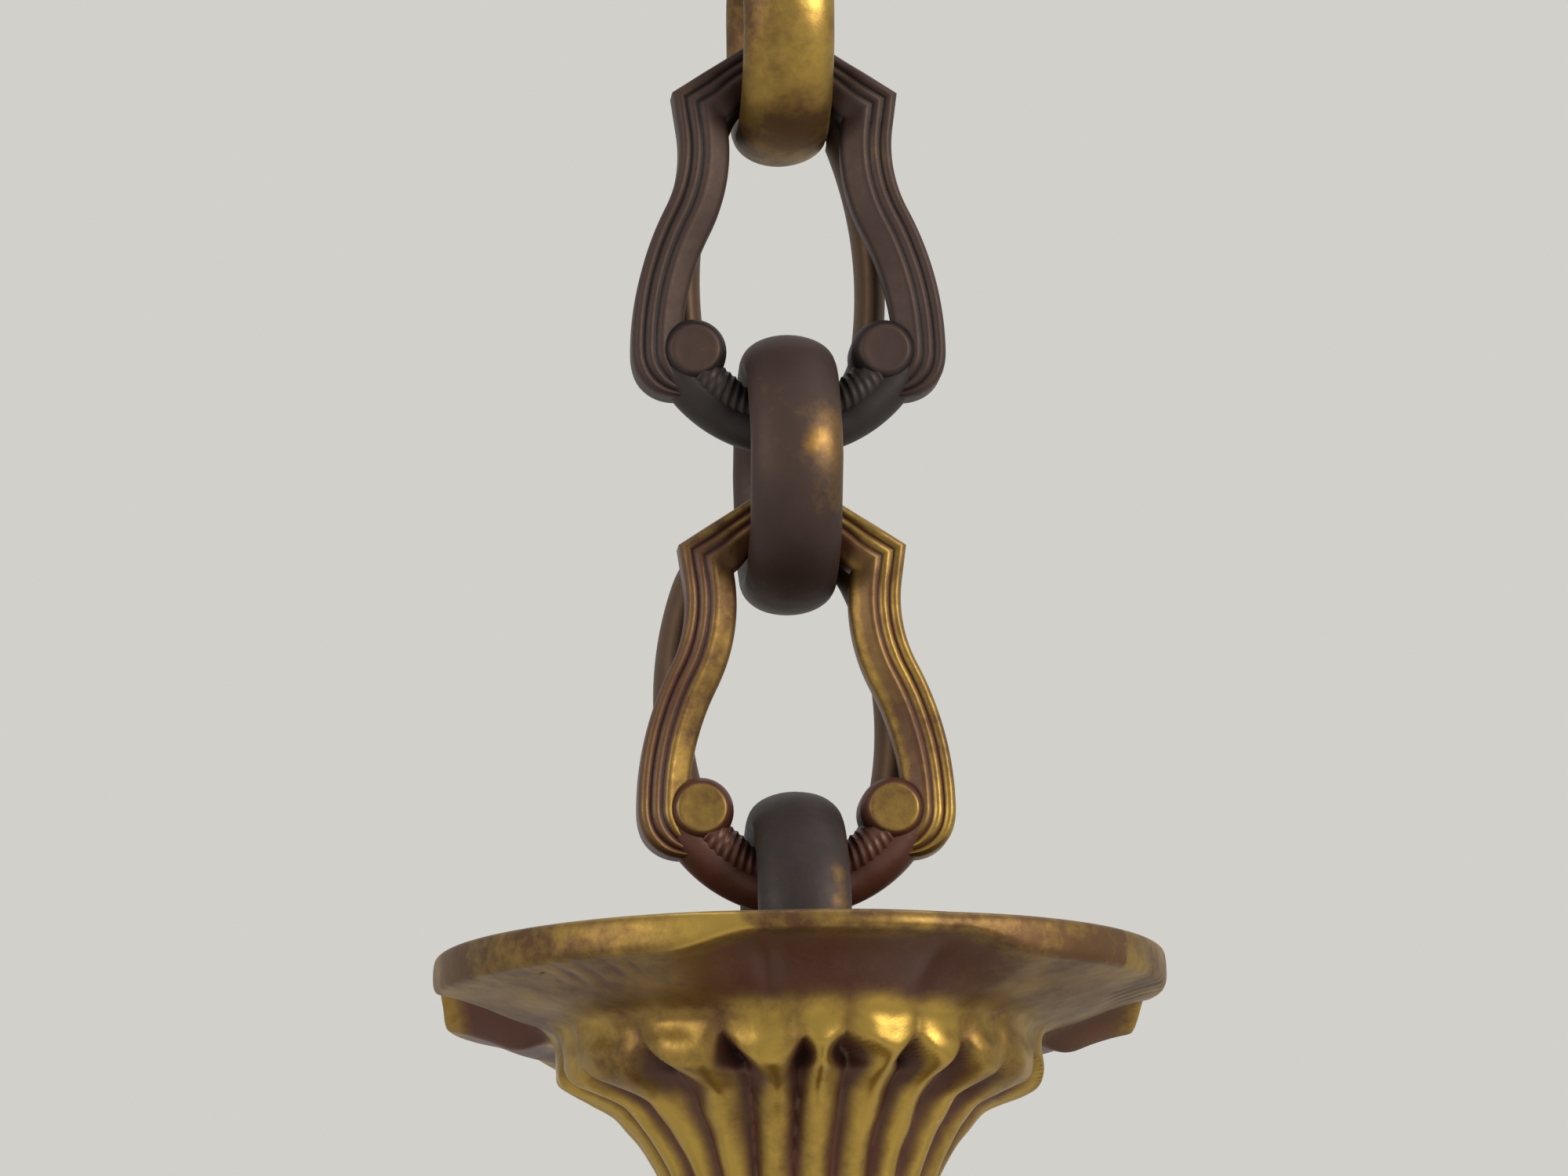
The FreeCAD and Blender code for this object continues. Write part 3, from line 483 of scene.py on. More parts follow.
def makeLyre(name, upperRing, lowerRing, material, body, wearAndPaintedLight):
    s = lyreShape
    peakZ, tailZ = middleZ(upperRing) - s["drop"], middleZ(lowerRing) + s["drop"]
    slope, lean = math.radians(s["gable"]), math.radians(s["lean"])
    apexZ = peakZ + s["peakBend"] * (1 / math.cos(slope) - 1)
    waistX = s["waistHalf"] + s["waistBend"] * (1 - math.cos(lean))
    waistZ = peakZ - s["waistDrop"] + s["waistBend"] * math.sin(lean)
    armRun = (apexZ - waistX * math.tan(slope) - waistZ) / (math.cos(lean) + math.sin(lean) * math.tan(slope))
    shoulderX, shoulderZ = waistX + armRun * math.sin(lean), waistZ + armRun * math.cos(lean)
    gableRun = shoulderX / math.cos(slope) - s["peakBend"] * math.tan(slope)
    bm = bmesh.new()
    hollowLayer, acrossLayer, rubAndHighlightLayer = addLayers(bm, "hollow", "across", "rubbedAndHighlight")

    gable = walkLine(0, peakZ, 0, [(s["peakBend"], -s["gable"]), (gableRun - s["cornerGap"], 0)], s["step"])
    places = [slimPlace(x, z, heading, s["bandEdge"]) for x, z, heading in gable]
    turn = 90 + s["lean"] - s["gable"]
    places.append(sectionPlace(shoulderX, s["offsetY"], shoulderZ, -s["gable"] - turn / 2 - 90,
                               1 / math.cos(math.radians(turn / 2))))
    armHeading = -90 - s["lean"]
    startX = shoulderX + s["cornerGap"] * math.cos(math.radians(armHeading))
    startZ = shoulderZ + s["cornerGap"] * math.sin(math.radians(armHeading))
    arm = walkLine(startX, startZ, armHeading, [
        (armRun - s["cornerGap"], 0), (s["waistBend"], s["lean"] + s["flare"]),
        (s["bellyBend"], -s["flare"])], s["step"])
    places += [sectionPlace(x, s["offsetY"], z, heading - 90) for x, z, heading in arm]
    x, z, heading = arm[-1]
    scroll = walkLine(x, z, heading, [
        (s["scrollBend"], -90), (s["scrollBend"] * s["scrollShrink"], -45)], s["step"] * s["scrollStep"])[1:]
    for i, (x, z, heading) in enumerate(scroll):
        taper = 1 - s["scrollTaper"] * smooth(*s["taperOver"], i / (len(scroll) - 1))
        places.append(sectionPlace(x, s["offsetY"], z, heading - 90, taper, 0.5 + 0.5 * taper))
    sweepSection(bm, bandSection, places)
    band = list(bm.verts)
    discX, discZ = arm[-1][0] - s["scrollBend"], arm[-1][1]

    # volute button: a short drum with a rounded edge and a flat face
    known = set(bm.verts)
    lathe = [bm.verts.new((a * mm, (s["offsetY"] + b) * mm, 0)) for a, b in smoothLine(drumTurn, 3)]
    latheEdges = [bm.edges.new(pair) for pair in zip(lathe, lathe[1:])]
    bmesh.ops.spin(bm, geom=lathe + latheEdges, cent=(0, 0, 0), axis=(0, 1, 0),
                   angle=2 * math.pi, steps=s["drumSteps"], use_merge=True)
    drum = [v for v in bm.verts if v not in known]
    for vert in drum:
        # dirt and painted shade towards the drum's rounded edge
        vert[hollowLayer] = s["drumDirtAndShade"] * smooth(*s["drumEdge"], vert.co.xz.length / mm)
    bmesh.ops.translate(bm, vec=(discX * mm, 0, discZ * mm), verts=drum)

    # smooth tail, from under the volute to the ring below
    spread = s["tailSpread"]
    startX = s["tailBend"] * math.sin(math.radians(spread))
    startZ = tailZ + s["tailBend"] * (1 - math.cos(math.radians(spread)))
    tail = walkLine(startX, startZ, 180 + spread, [(s["tailBend"], -spread)], s["step"])
    sweepSection(bm, tailSection, [slimPlace(x, z, heading, s["tailEdge"]) for x, z, heading in tail])

    # cuff on its upper side, with slanting ridges
    known = set(bm.verts)
    cuff = [p for p in walkLine(startX, startZ, 180 + spread, [(s["tailBend"], -spread)], s["cuffStep"])
            if s["cuffTo"] < p[2] - 180 < s["cuffFrom"]]
    places = []
    for i, (x, z, heading) in enumerate(cuff):
        swell = math.sin(math.pi * (i + 0.5) / len(cuff)) ** 0.5
        size = nearRing(x) * (s["cuffEnds"] + (1 - s["cuffEnds"]) * swell)
        places.append(sectionPlace(x, s["offsetY"], z, heading - 90, size, size))
    sweepSection(bm, cuffSection, places)
    bm.normal_update()
    for vert in [v for v in bm.verts if v not in known]:
        x, z = vert.co.x / mm, vert.co.z / mm - tailZ - s["tailBend"]
        along = math.atan2(x, -z) * s["tailBend"]
        inward = s["tailBend"] - math.hypot(x, z)
        ridge = abs(math.cos(math.pi * (along + s["ridgeSlant"] * inward) / s["ridgePitch"]))
        # dirt and painted shade on the cuff, most between the ridges
        vert[hollowLayer] = s["cuffDirtAndShade"] + s["ridgeDirtAndShade"] * (1 - ridge) ** 1.5
        vert.co -= vert.normal * s["ridgeDepth"] * mm * (1 - ridge)

    twin = bmesh.ops.duplicate(bm, geom=bm.verts[:] + bm.edges[:] + bm.faces[:])
    bmesh.ops.scale(bm, vec=(-1, 1, 1), verts=onlyVerts(twin["geom"]))

    # painted light and shade differ between the two arms, as from a lamp on the right: painted shade on the
    # broad face of the right arm and on the outer rolls and upper face of the left one, less on its gable;
    # painted highlights on the right arm's rolls and inner edge and on the left arm's lower face
    w = lyreShadeAndHighlights
    for vert in band:
        left, across = twin["vert_map"][vert], vert[acrossLayer]
        height = (vert.co.z / mm - discZ) / (shoulderZ - discZ)
        face, inner = smooth(*w["face"], across), smooth(*w["inner"], across)
        fade, onGable = 1 - smooth(*w["fade"], height), smooth(*w["gable"], height)
        vert[hollowLayer] += wearAndPaintedLight * w["rightFaceShade"] * face * (1 - inner)
        vert[rubAndHighlightLayer] = wearAndPaintedLight * (w["rightRollHighlight"] * (1 - face) + w["rightInnerHighlight"] * inner * fade)
        dirtAndShade = w["leftRollShade"] * (1 - face) + w["leftFaceShade"] * face * (1 - fade)
        left[hollowLayer] += wearAndPaintedLight * dirtAndShade * (1 - w["gableLighter"] * onGable)
        left[rubAndHighlightLayer] = wearAndPaintedLight * w["leftFaceHighlight"] * face * fade
    finishPiece(bm, name + "_moulded", material, body, [name], sharpAngle=50)


makeLyre("lyre_1", "ring_1", "ring_2", darkBronze, "link_1", 0.3)
makeLyre("lyre_2", "ring_2", "ring_3", giltBronze, "link_2", 1.0)


# crown cup: lip of three large and three small lobes, hollow throat, overhanging skirt of leaves, ribbed neck

# pairs are where something starts and is complete, in mm below the rim, or in degrees for the rubs and
# painted highlights of the lip and ribs
cupShape = {
    "front": -95, "repeat": 120, "segments": 432, "lipRise": 2.0,
    "smallAt": 10.5, "smallHalf": 16.0, "largeHalf": 44.0, "smallIn": 2.2, "smallRound": 0.4, "largeIn": 2.4,
    "insetFade": (2.0, 9.0), "lipGrow": 3.2, "growOver": (-0.6, 1.9), "growFade": (4.5, 12.5),
    "jointWide": 2.0, "jointDepth": 1.2, "throatStart": (1.7, 3.2), "throatEnd": (8.0, 12.5),
    "nickAt": -36.0, "nickTurn": 80, "nickReach": 9, "nickDepth": 1.2,
    "nickStart": (1.3, 2.2), "nickEnd": (3.0, 5.0), "lipEnd": (1.5, 2.4),
    "leafFrom": 7.5, "leafTop": 15.0, "leafSet": 1.0, "leafSwell": 0.4,
    "undercut": 5.0, "undercutFade": (17, 28), "ribDepth": 2.9, "ribLoss": 1.3, "ribFade": (22, 44),
    "ribsEven": (20, 38), "chase": 0.55, "chaseMm": 5.5, "chaseStart": (5, 12), "chaseEnd": (40, 60),
    "backFrom": 106.0, "backTo": 266.5, "backBlend": 3, "backDrop": 4.5, "backGrow": 2.5,
    "growShare": (0.0, 0.35), "bulgeOver": (0.0, 0.75), "tipWide": 0.4, "tipFill": 0.7,
    "edgeAbove": 0.3, "edgeBelow": 1.5, "tipBlend": 1.5,
    "insideRound": (0, 7), "insideDrop": (-1, 7), "soften": 0.4,
}
# dirt, painted shade and painted highlights of the cup
cupWearShadeAndHighlights = {
    "throat": 0.9, "lobeLighter": 0.45, "backLighter": 0.1, "joint": 0.3, "nick": 0.5, "leafGap": 0.7,
    "valley": 0.9, "underLeaf": 0.8, "inside": 0.7, "ribRubAndHighlight": 0.34, "ribHighlightRight": 0.2, "ribRight": (20, 40),
    "lipRub": 0.06, "lipRightLess": 0.19, "lipRight": (24, 40), "facetHighlight": 0.3, "facetStart": (-26, -9),
    "facetEnd": (-8.8, -6.4), "facetSlant": 1.2, "facetLevel": 0.5,
    "lighterShare": (0.05, 0.4), "shadeOver": (1.0, 7.0), "tipLighter": 0.8,
}
# leaves of the skirt in one repeat, bearings in degrees; each leaf's rub value paints a highlight on the
# middle of the leaf
cupLeaves = [
    {"middle": -54, "half": 16.0, "proud": 2.2, "foot": 22.4, "tip": -49.5, "rubAndHighlight": 0.12},
    {"middle": -30, "half": 12.0, "proud": 2.2, "foot": 21.8, "tip": -24.8, "rubAndHighlight": 0.16},
    {"middle": -8, "half": 11.0, "proud": 1.7, "foot": 21.2, "tip": -5.9, "rubAndHighlight": 0.34},
    {"middle": 6, "half": 7.5, "proud": 1.3, "foot": 17.4, "tip": 6.0, "rubAndHighlight": 0.46},
    {"middle": 20, "half": 10.5, "proud": 2.1, "foot": 18.6, "tip": 23.2, "rubAndHighlight": 0.46},
    {"middle": 36, "half": 9.0, "proud": 1.6, "foot": 20.2, "tip": 38.0, "rubAndHighlight": 0.4},
    {"middle": 51, "half": 10.0, "proud": 1.8, "foot": 21.8, "tip": 54.0, "rubAndHighlight": 0.26},
]
# drop below the rim, radius
cupOuter = [
    (-1.1, 57.6), (-1.35, 59.8), (-1.0, 61.0), (-0.3, 61.5), (0.5, 61.7), (1.3, 61.6), (1.9, 60.9),
    (2.3, 59.2), (3.1, 56.2), (4.7, 51.4), (7.2, 46.4), (10.0, 42.2), (12.5, 40.0), (15.0, 39.3),
    (18.0, 39.2), (20.5, 38.2), (22.0, 35.8), (23.5, 33.0), (25.0, 30.8), (27.5, 28.2), (30.5, 26.0),
    (34.0, 24.0), (38.0, 22.4), (44.0, 21.2), (52.0, 20.4), (60.0, 19.8), (68.5, 19.4),
]
cupInner = [(-1.0, 55.6), (1.5, 47.6), (7.0, 36.6), (16.0, 29.8), (21.0, 25.6), (25.0, 24.2), (29.0, 22.6),
            (33.0, 20.4), (49.0, 14.0)]


def wrapTurn(degrees):
    half = cupShape["repeat"] / 2
    return (degrees + half) % cupShape["repeat"] - half


def lobeInset(turn):
    # how far the rim is drawn in: a small lobe stands back between two large round ones
    c = cupShape
    away = abs(wrapTurn(turn - c["smallAt"]))
    if away < c["smallHalf"]:
        return c["smallIn"] + c["smallRound"] * (away / c["smallHalf"]) ** 2, 0.0
    share = min(1, (away - c["smallHalf"]) / c["largeHalf"])
    return c["largeIn"] * (1 - share) ** 2.5, share


def backLobe(bearing):
    # 1 for the lobes at the back, which hang lower and overlap the front ones
    start, end, blend = cupShape["backFrom"], cupShape["backTo"], cupShape["backBlend"]
    bearing %= 360
    return smooth(start - blend, start + blend, bearing) * (1 - smooth(end - blend, end + blend, bearing))


def ribRidge(turn, drop):
    # 1 on a rib and 0 in a valley: even ribs at the neck, which sweep to the leaf tips higher up
    tips = [leaf["tip"] for leaf in cupLeaves]
    turn = (turn - tips[0]) % cupShape["repeat"] + tips[0]
    even = len(tips) * (turn - tips[3]) / cupShape["repeat"] + 3
    number = max(i for i, tip in enumerate(tips) if turn >= tip)
    after = (tips + [tips[0] + cupShape["repeat"]])[number + 1]
    swept = number + (turn - tips[number]) / (after - tips[number])
    share = smooth(*cupShape["ribsEven"], drop)
    return abs(math.cos(math.pi * (swept + (even - swept) * share)))


def cupRelief(bearing, drop, radius):
    # gives the new radius, how much lower the point lies, its dirt with painted shade, and its rubbing with
    # painted highlights
    c, w = cupShape, cupWearShadeAndHighlights
    turn = wrapTurn(bearing)
    inset, share = lobeInset(turn)
    back = backLobe(bearing)
    joint = math.exp(-((abs(wrapTurn(turn - c["smallAt"])) - c["smallHalf"]) / c["jointWide"]) ** 2)
    throat = smooth(*c["throatStart"], drop) * (1 - smooth(*c["throatEnd"], drop))
    lower = c["lipGrow"] * smooth(*c["growShare"], share) + c["backGrow"] * back
    lower *= smooth(*c["growOver"], drop)
    lower = (lower + c["backDrop"] * back) * (1 - smooth(*c["growFade"], drop))
    inset = inset * (1 - smooth(*c["insetFade"], drop)) + c["jointDepth"] * joint * throat

    # nicks under the lip of the large lobe
    nearNick = wrapTurn(turn - c["nickAt"])
    nick = max(0, math.cos(math.radians(nearNick * c["nickTurn"]))) * (abs(nearNick) < c["nickReach"])
    nick *= smooth(*c["nickStart"], drop) * (1 - smooth(*c["nickEnd"], drop))
    inset += c["nickDepth"] * nick

    # leaves of the skirt: each swells out and hangs down to a tip, which a rib runs up to
    swell, foot, body, tip, leafHighlight = 0.0, c["leafTop"], 0.0, 0.0, 0.0
    for leaf in cupLeaves:
        across = wrapTurn(turn - leaf["middle"]) / leaf["half"]
        if abs(across) < 1:
            bump = (1 - across * across) ** 0.6
            swell = max(swell, leaf["proud"] * bump)
            body = max(body, bump)
            # painted highlight on the middle of each leaf
            leafHighlight = max(leafHighlight, leaf["rubAndHighlight"] * bump ** 3)
            lean = wrapTurn(leaf["tip"] - leaf["middle"]) / leaf["half"]
            hang = 1 - abs((across - lean) / (1 + lean if across < lean else 1 - lean)) ** 1.5
            foot = max(foot, c["leafTop"] + (leaf["foot"] - c["leafTop"]) * hang)
            tip = max(tip, math.exp(-((across - lean) / c["tipWide"]) ** 2))
    onSkirt = smooth(c["leafFrom"], c["leafTop"], drop)
    along = (drop - c["leafFrom"]) / (foot - c["leafFrom"])
    bulge = (swell + c["leafSwell"] * body) * smooth(*c["bulgeOver"], along)
    skirt = radius + bulge - c["leafSet"] * onSkirt

    # ribs rise from the neck, each to the tip of a leaf, with deep hollows between them
    ridge = ribRidge(turn, drop)
    depth = c["ribDepth"] - c["ribLoss"] * smooth(*c["ribFade"], drop)
    under = c["undercut"] * (1 - c["tipFill"] * tip) * (1 - smooth(*c["undercutFade"], drop))
    rib = radius - under - depth * (1 - ridge)
    below = smooth(foot - c["edgeAbove"], foot + c["edgeBelow"] + c["tipBlend"] * tip, drop)

    # dirt and painted shade in the throat, lighter on the large lobes than the small, between the leaves,
    # under them and between the ribs; painted highlights with rubbing on leaves and ribs
    lip = 1 - smooth(*c["lipEnd"], drop)
    lighter = smooth(*w["lighterShare"], share) * (w["lobeLighter"] + w["backLighter"] * back)
    dirtAndShade = throat * (w["throat"] - lighter + w["joint"] * joint) + w["nick"] * nick
    dirtAndShade += (1 - below) * onSkirt * w["leafGap"] * (1 - body) ** 0.7
    shade = w["underLeaf"] * (1 - w["tipLighter"] * tip) * (1 - smooth(*w["shadeOver"], drop - foot))
    dirtAndShade += below * (w["valley"] * (1 - ridge) ** 0.9 + shade)
    # painted highlight on the rib ridges, stronger on the ribs to the right, with their rubbing
    ribRubAndHighlight = w["ribRubAndHighlight"] + w["ribHighlightRight"] * smooth(*w["ribRight"], turn)
    rubAndHighlight = (1 - below) * onSkirt * leafHighlight + below * ribRubAndHighlight * ridge ** 3

    # painted highlight on the lip beside the joint, a bright facet which ends in a slanting edge; the lip is
    # painted darker towards the right
    slant = w["facetSlant"] * (drop - w["facetLevel"])
    facet = smooth(*w["facetStart"], turn) * (1 - smooth(*w["facetEnd"], turn - slant))
    rubAndHighlight += lip * (w["lipRub"] + w["facetHighlight"] * facet - w["lipRightLess"] * smooth(*w["lipRight"], turn))
    return skirt * (1 - below) + rib * below - inset, lower, min(1, dirtAndShade), rubAndHighlight


def makeCup():
    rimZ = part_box("crown_cup")[1][2] / mm - cupShape["lipRise"]
    line = [(d, r, 1) for d, r in smoothLine(cupOuter, 5)]
    inner = [(d, r, 0) for d, r in smoothLine(cupInner, 3)]
    bm = bmesh.new()
    outerLayer, hollowLayer, rubAndHighlightLayer = addLayers(bm, "outer", "hollow", "rubbedAndHighlight")
    profile = []
    for drop, radius, outer in list(reversed(line)) + inner:
        vert = bm.verts.new((radius * mm, 0, -drop * mm))
        vert[outerLayer] = outer
        profile.append(vert)
    edges = [bm.edges.new(pair) for pair in zip(profile, profile[1:])]
    bmesh.ops.spin(bm, geom=profile + edges, cent=(0, 0, 0), axis=(0, 0, 1), angle=2 * math.pi,
                   steps=cupShape["segments"], use_merge=True)
    bmesh.ops.remove_doubles(bm, verts=bm.verts, dist=fineWeld)
    for vert in bm.verts:
        bearing = math.degrees(math.atan2(vert.co.y, vert.co.x)) - cupShape["front"]
        drop, radius = -vert.co.z / mm, vert.co.xy.length / mm
        if vert[outerLayer] > 0.5:
            shaped, lower, vert[hollowLayer], vert[rubAndHighlightLayer] = cupRelief(bearing, drop, radius)
            chased = noise.noise(vert.co / (cupShape["chaseMm"] * mm)) * smooth(*cupShape["chaseStart"], drop)
            shaped += cupShape["chase"] * chased * (1 - smooth(*cupShape["chaseEnd"], drop))
            vert.co.z -= lower * mm
        else:
            shaped = radius - lobeInset(bearing)[0] * (1 - smooth(*cupShape["insideRound"], drop))
            hang = cupShape["backDrop"] * backLobe(bearing)
            vert.co.z -= hang * (1 - smooth(*cupShape["insideDrop"], drop)) * mm
            # the inside of the cup is darkened with dirt and painted shade
            vert[hollowLayer] = cupWearShadeAndHighlights["inside"]
        vert.co.xy *= shaped / radius
    outside = [v for v in bm.verts if v[outerLayer] > 0.5 and not v.is_boundary]
    bmesh.ops.smooth_vert(bm, verts=outside, factor=cupShape["soften"],
                          use_axis_x=True, use_axis_y=True, use_axis_z=True)
    # the outer and the inner wall are joined at their feet
    feet = {}
    for edge in [e for e in bm.edges if e.is_boundary]:
        feet.setdefault(round(edge.verts[0].co.z, 4), []).append(edge)
    outerFoot, innerFoot = feet.values()
    bmesh.ops.bridge_loops(bm, edges=outerFoot + innerFoot)
    bmesh.ops.translate(bm, vec=(0, 0, rimZ * mm), verts=bm.verts)
    finishPiece(bm, "crown_cup_chased", giltBronze, "chandelier", ["crown_cup"],
                sharpAngle=55)


makeCup()


# turned pieces: a profile spun about an upright axis, with gadroons cut into some of its bands

gadroon = {"fade": 4.0, "fadeShare": 3, "dirtAndShade": 0.9, "dirtAndShadeSpread": 1.6, "core": 0.5, "least": 0.2}


def bandRelief(bands, angle, drop):
    # bands are (from, to, lobes, depth, lean): how far the surface is cut back there, and the dirt with
    # painted shade in the cut
    cut, dirtAndShade = 0.0, 0.0
    for start, end, lobes, depth, lean in bands:
        fade = min(gadroon["fade"], (end - start) / gadroon["fadeShare"])
        weight = smooth(start, start + fade, drop) * (1 - smooth(end - fade, end, drop))
        ridge = abs(math.cos(lobes / 2 * math.radians(angle + lean * (drop - start))))
        cut += depth * weight * (1 - ridge)
        dirtAndShade += weight * (1 - ridge) ** gadroon["dirtAndShadeSpread"]
    return cut, min(1, dirtAndShade * gadroon["dirtAndShade"])


def turnProfile(bm, profile, bands, segments, at, upward=False):
    # profile is (drop, radius), closed on the axis; at is the axis point that drops are counted from, in mm
    [hollowLayer] = addLayers(bm, "hollow")
    old = set(bm.verts)
    sign = 1 if upward else -1
    verts = [bm.verts.new((radius * mm, 0, sign * drop * mm)) for drop, radius in profile]
    edges = [bm.edges.new(pair) for pair in zip(verts, verts[1:])]
    bmesh.ops.spin(bm, geom=verts + edges, cent=(0, 0, 0), axis=(0, 0, 1), angle=2 * math.pi,
                   steps=segments, use_merge=True)
    new = [v for v in bm.verts if v not in old]
    bmesh.ops.remove_doubles(bm, verts=new, dist=fineWeld)
    new = [v for v in bm.verts if v not in old]
    for vert in new:
        radius = vert.co.xy.length / mm
        if radius > gadroon["core"]:
            angle = math.degrees(math.atan2(vert.co.y, vert.co.x))
            cut, vert[hollowLayer] = bandRelief(bands, angle, sign * vert.co.z / mm)
            vert.co.xy *= max(gadroon["least"], (radius - cut) / radius)
    bmesh.ops.translate(bm, vec=Vector(at) * mm, verts=new)
    return new


collarTurn = {
    "profile": [(0, 0), (0, 18.4), (0.8, 19.6), (1.8, 19.9), (2.4, 19.2), (2.9, 19.6), (4, 22.6), (6, 24),
                (8, 22.6), (9.1, 19.6), (9.6, 19.2), (10.2, 19.9), (11.2, 19.6), (12, 18.4), (12, 0)],
    "bands": [(2.6, 9.4, 26, 2.2, 3.0)], "segments": 208,
}
balusterTurn = {
    "profile": [(0, 0), (0, 17.3), (1, 17.7), (4.6, 17.7), (5.6, 17.0), (6.4, 15.6), (8, 14.2), (11, 13.3),
                (18, 13.9), (30, 16.4), (42, 20.8), (55, 26.4), (68, 31.8), (80, 36.2), (90, 38.3),
                (98, 38.7), (106, 37.2), (112, 34.2), (118, 28.8), (124, 22.2), (127, 19.2), (129, 18.4),
                (131, 19.8), (133, 22.4), (135, 23.2), (139, 23.2), (141, 22.4), (141, 0)],
    "bands": [(13, 74, 12, 2.0, 0.0), (70, 126, 24, 3.4, 0.0)], "segments": 240,
}
bowlTurn = {
    "profile": [(0, 0), (0, 46.6), (1, 47.2), (4, 47.2), (5.4, 46.4), (7, 48.2), (9, 50.0), (13, 50.6),
                (18, 49.2), (24, 45.8), (30, 41.0), (36, 34.4), (42, 27.2), (46, 22.4), (50, 18.2),
                (53, 15.4), (55, 15.2), (56.4, 16.4), (58, 16.0), (58, 0)],
    "bands": [(5.6, 52, 16, 4.2, 0.25)], "segments": 256,
}
finialTurn = {
    "profile": [(0, 0), (0, 15.0), (1.5, 17.2), (4, 18.2), (6.5, 17.0), (8.5, 13.4), (10, 12.0), (13, 11.8),
                (15.5, 13.6), (19, 17.0), (24, 20.4), (30, 22.8), (36, 23.6), (43, 21.6), (50, 18.2),
                (56, 13.8), (62, 9.6), (67, 6.6), (70, 6.0), (72.5, 6.8), (75.5, 7.2), (78.5, 6.0),
                (80.4, 3.2), (81, 0)],
    "bands": [(13, 68, 10, 3.6, 0.5), (1.5, 8, 22, 1.2, 0.0)], "segments": 200,
}


def makeTurned(node, turn):
    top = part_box(node)[1][2] / mm
    bm = bmesh.new()
    turnProfile(bm, smoothLine(turn["profile"], 4), turn["bands"], turn["segments"], (0, 0, top))
    finishPiece(bm, node + "_chased", giltBronze, "chandelier", [node], sharpAngle=55)


makeTurned("neck_collar", collarTurn)
makeTurned("baluster", balusterTurn)
makeTurned("hub_collar", collarTurn)
makeTurned("lower_bowl", bowlTurn)
makeTurned("finial", finialTurn)


# hub: six panelled sides between two gadrooned rims

hubShape = {
    "flat": 45.4, "setIn": 1.0, "edge": 1.4, "edgeSteps": 3,
    "panelInset": 6.0, "panelSlope": 1.6, "panelSink": 2.2, "panelLeast": 1200,
    "rimHeight": 8.0, "rimBands": [(0.6, 7.4, 48, 1.8, 0.0)], "rimSegments": 288,
    "rim": [(0, 0), (0, 46.2), (0.8, 48.4), (2.4, 49.9), (4, 50.4), (5.6, 49.9), (7.2, 48.4), (8, 46.2),
            (8, 0)],
}


def makeHub():
    h = hubShape
    low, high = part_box("arm_hub")
    bm = bmesh.new()
    addLayers(bm, "hollow")
    corner = h["flat"] / math.cos(math.pi / 6)
    ground = bmesh.ops.create_circle(bm, cap_ends=True, segments=6, radius=corner * mm)["verts"]
    toCorner = math.pi / 6 - math.atan2(ground[0].co.y, ground[0].co.x)
    bmesh.ops.rotate(bm, cent=(0, 0, 0), matrix=Matrix.Rotation(toCorner, 3, "Z"), verts=ground)
    bmesh.ops.translate(bm, vec=(0, 0, low[2] + h["setIn"] * mm), verts=ground)
    top = onlyVerts(bmesh.ops.extrude_face_region(bm, geom=bm.faces[:])["geom"])
    bmesh.ops.translate(bm, vec=(0, 0, high[2] - low[2] - 2 * h["setIn"] * mm), verts=top)
    bm.normal_update()
    upright = [e for e in bm.edges if abs(e.verts[0].co.z - e.verts[1].co.z) > 1 * mm]
    bmesh.ops.bevel(bm, geom=upright, offset=h["edge"] * mm, affect="EDGES", segments=h["edgeSteps"],
                    profile=0.5, material=-1)
    bm.normal_update()
    sides = [f for f in bm.faces if abs(f.normal.z) < 0.5 and f.calc_area() > h["panelLeast"] * mm * mm]
    bmesh.ops.recalc_face_normals(bm, faces=bm.faces)
    bmesh.ops.inset_individual(bm, faces=sides, thickness=h["panelInset"] * mm, depth=0)
    bmesh.ops.inset_individual(bm, faces=sides, thickness=h["panelSlope"] * mm, depth=-h["panelSink"] * mm)
    for topZ in (high[2] / mm, low[2] / mm + h["rimHeight"]):
        turnProfile(bm, smoothLine(h["rim"], 4), h["rimBands"], h["rimSegments"], (0, 0, topZ))
    finishPiece(bm, "arm_hub_chased", giltBronze, "chandelier", ["arm_hub"],
                sharpAngle=35)


makeHub()


# arms: a reeded rod in an S, a counter scroll that ends in a bead, two husks, a flange and a seat

armShape = {
    "from": 46.0, "straight": 12.0, "walk": [(40.0, 35.0), (100.0, -75.0), (80.0, 130.0)], "step": 3.0,
    "rod": 7.2, "tip": 5.4, "scroll": [(40.0, 150.0), (26.0, 150.0), (14.0, 150.0)],
    "scrollRod": 5.4, "scrollTip": 3.0, "scrollDeep": 1.1, "bead": 8.2,
    "huskWidth": 8.6, "huskTurn": 25.0, "rootWidth": 9.4, "rootFrom": 6, "rootRun": 6.0, "huskStep": 1.6,
    "huskMouth": 0.72, "huskSwell": 0.55, "huskEarly": 1.15, "huskThin": 0.25,
    "flange": [(-3.2, 0), (-3.2, 9.0), (-0.6, 9.2), (0.6, 10.6), (2.2, 11.2), (3.6, 10.8), (4.6, 9.6),
               (5.4, 9.8), (6.4, 9.0), (7.2, 6.0), (7.2, 0)],
    "seat": [(-3.5, 0), (-3.5, 5.2), (-2.6, 7.0), (-1.2, 7.6), (0, 8.0), (1.2, 10.4), (2.4, 12.4),
             (3.8, 13.0), (4.9, 12.6), (4.9, 0)],
    "seatBands": [(-1.0, 4.4, 14, 1.0, 0.0)], "flangeSegments": 48, "seatSegments": 112,
}
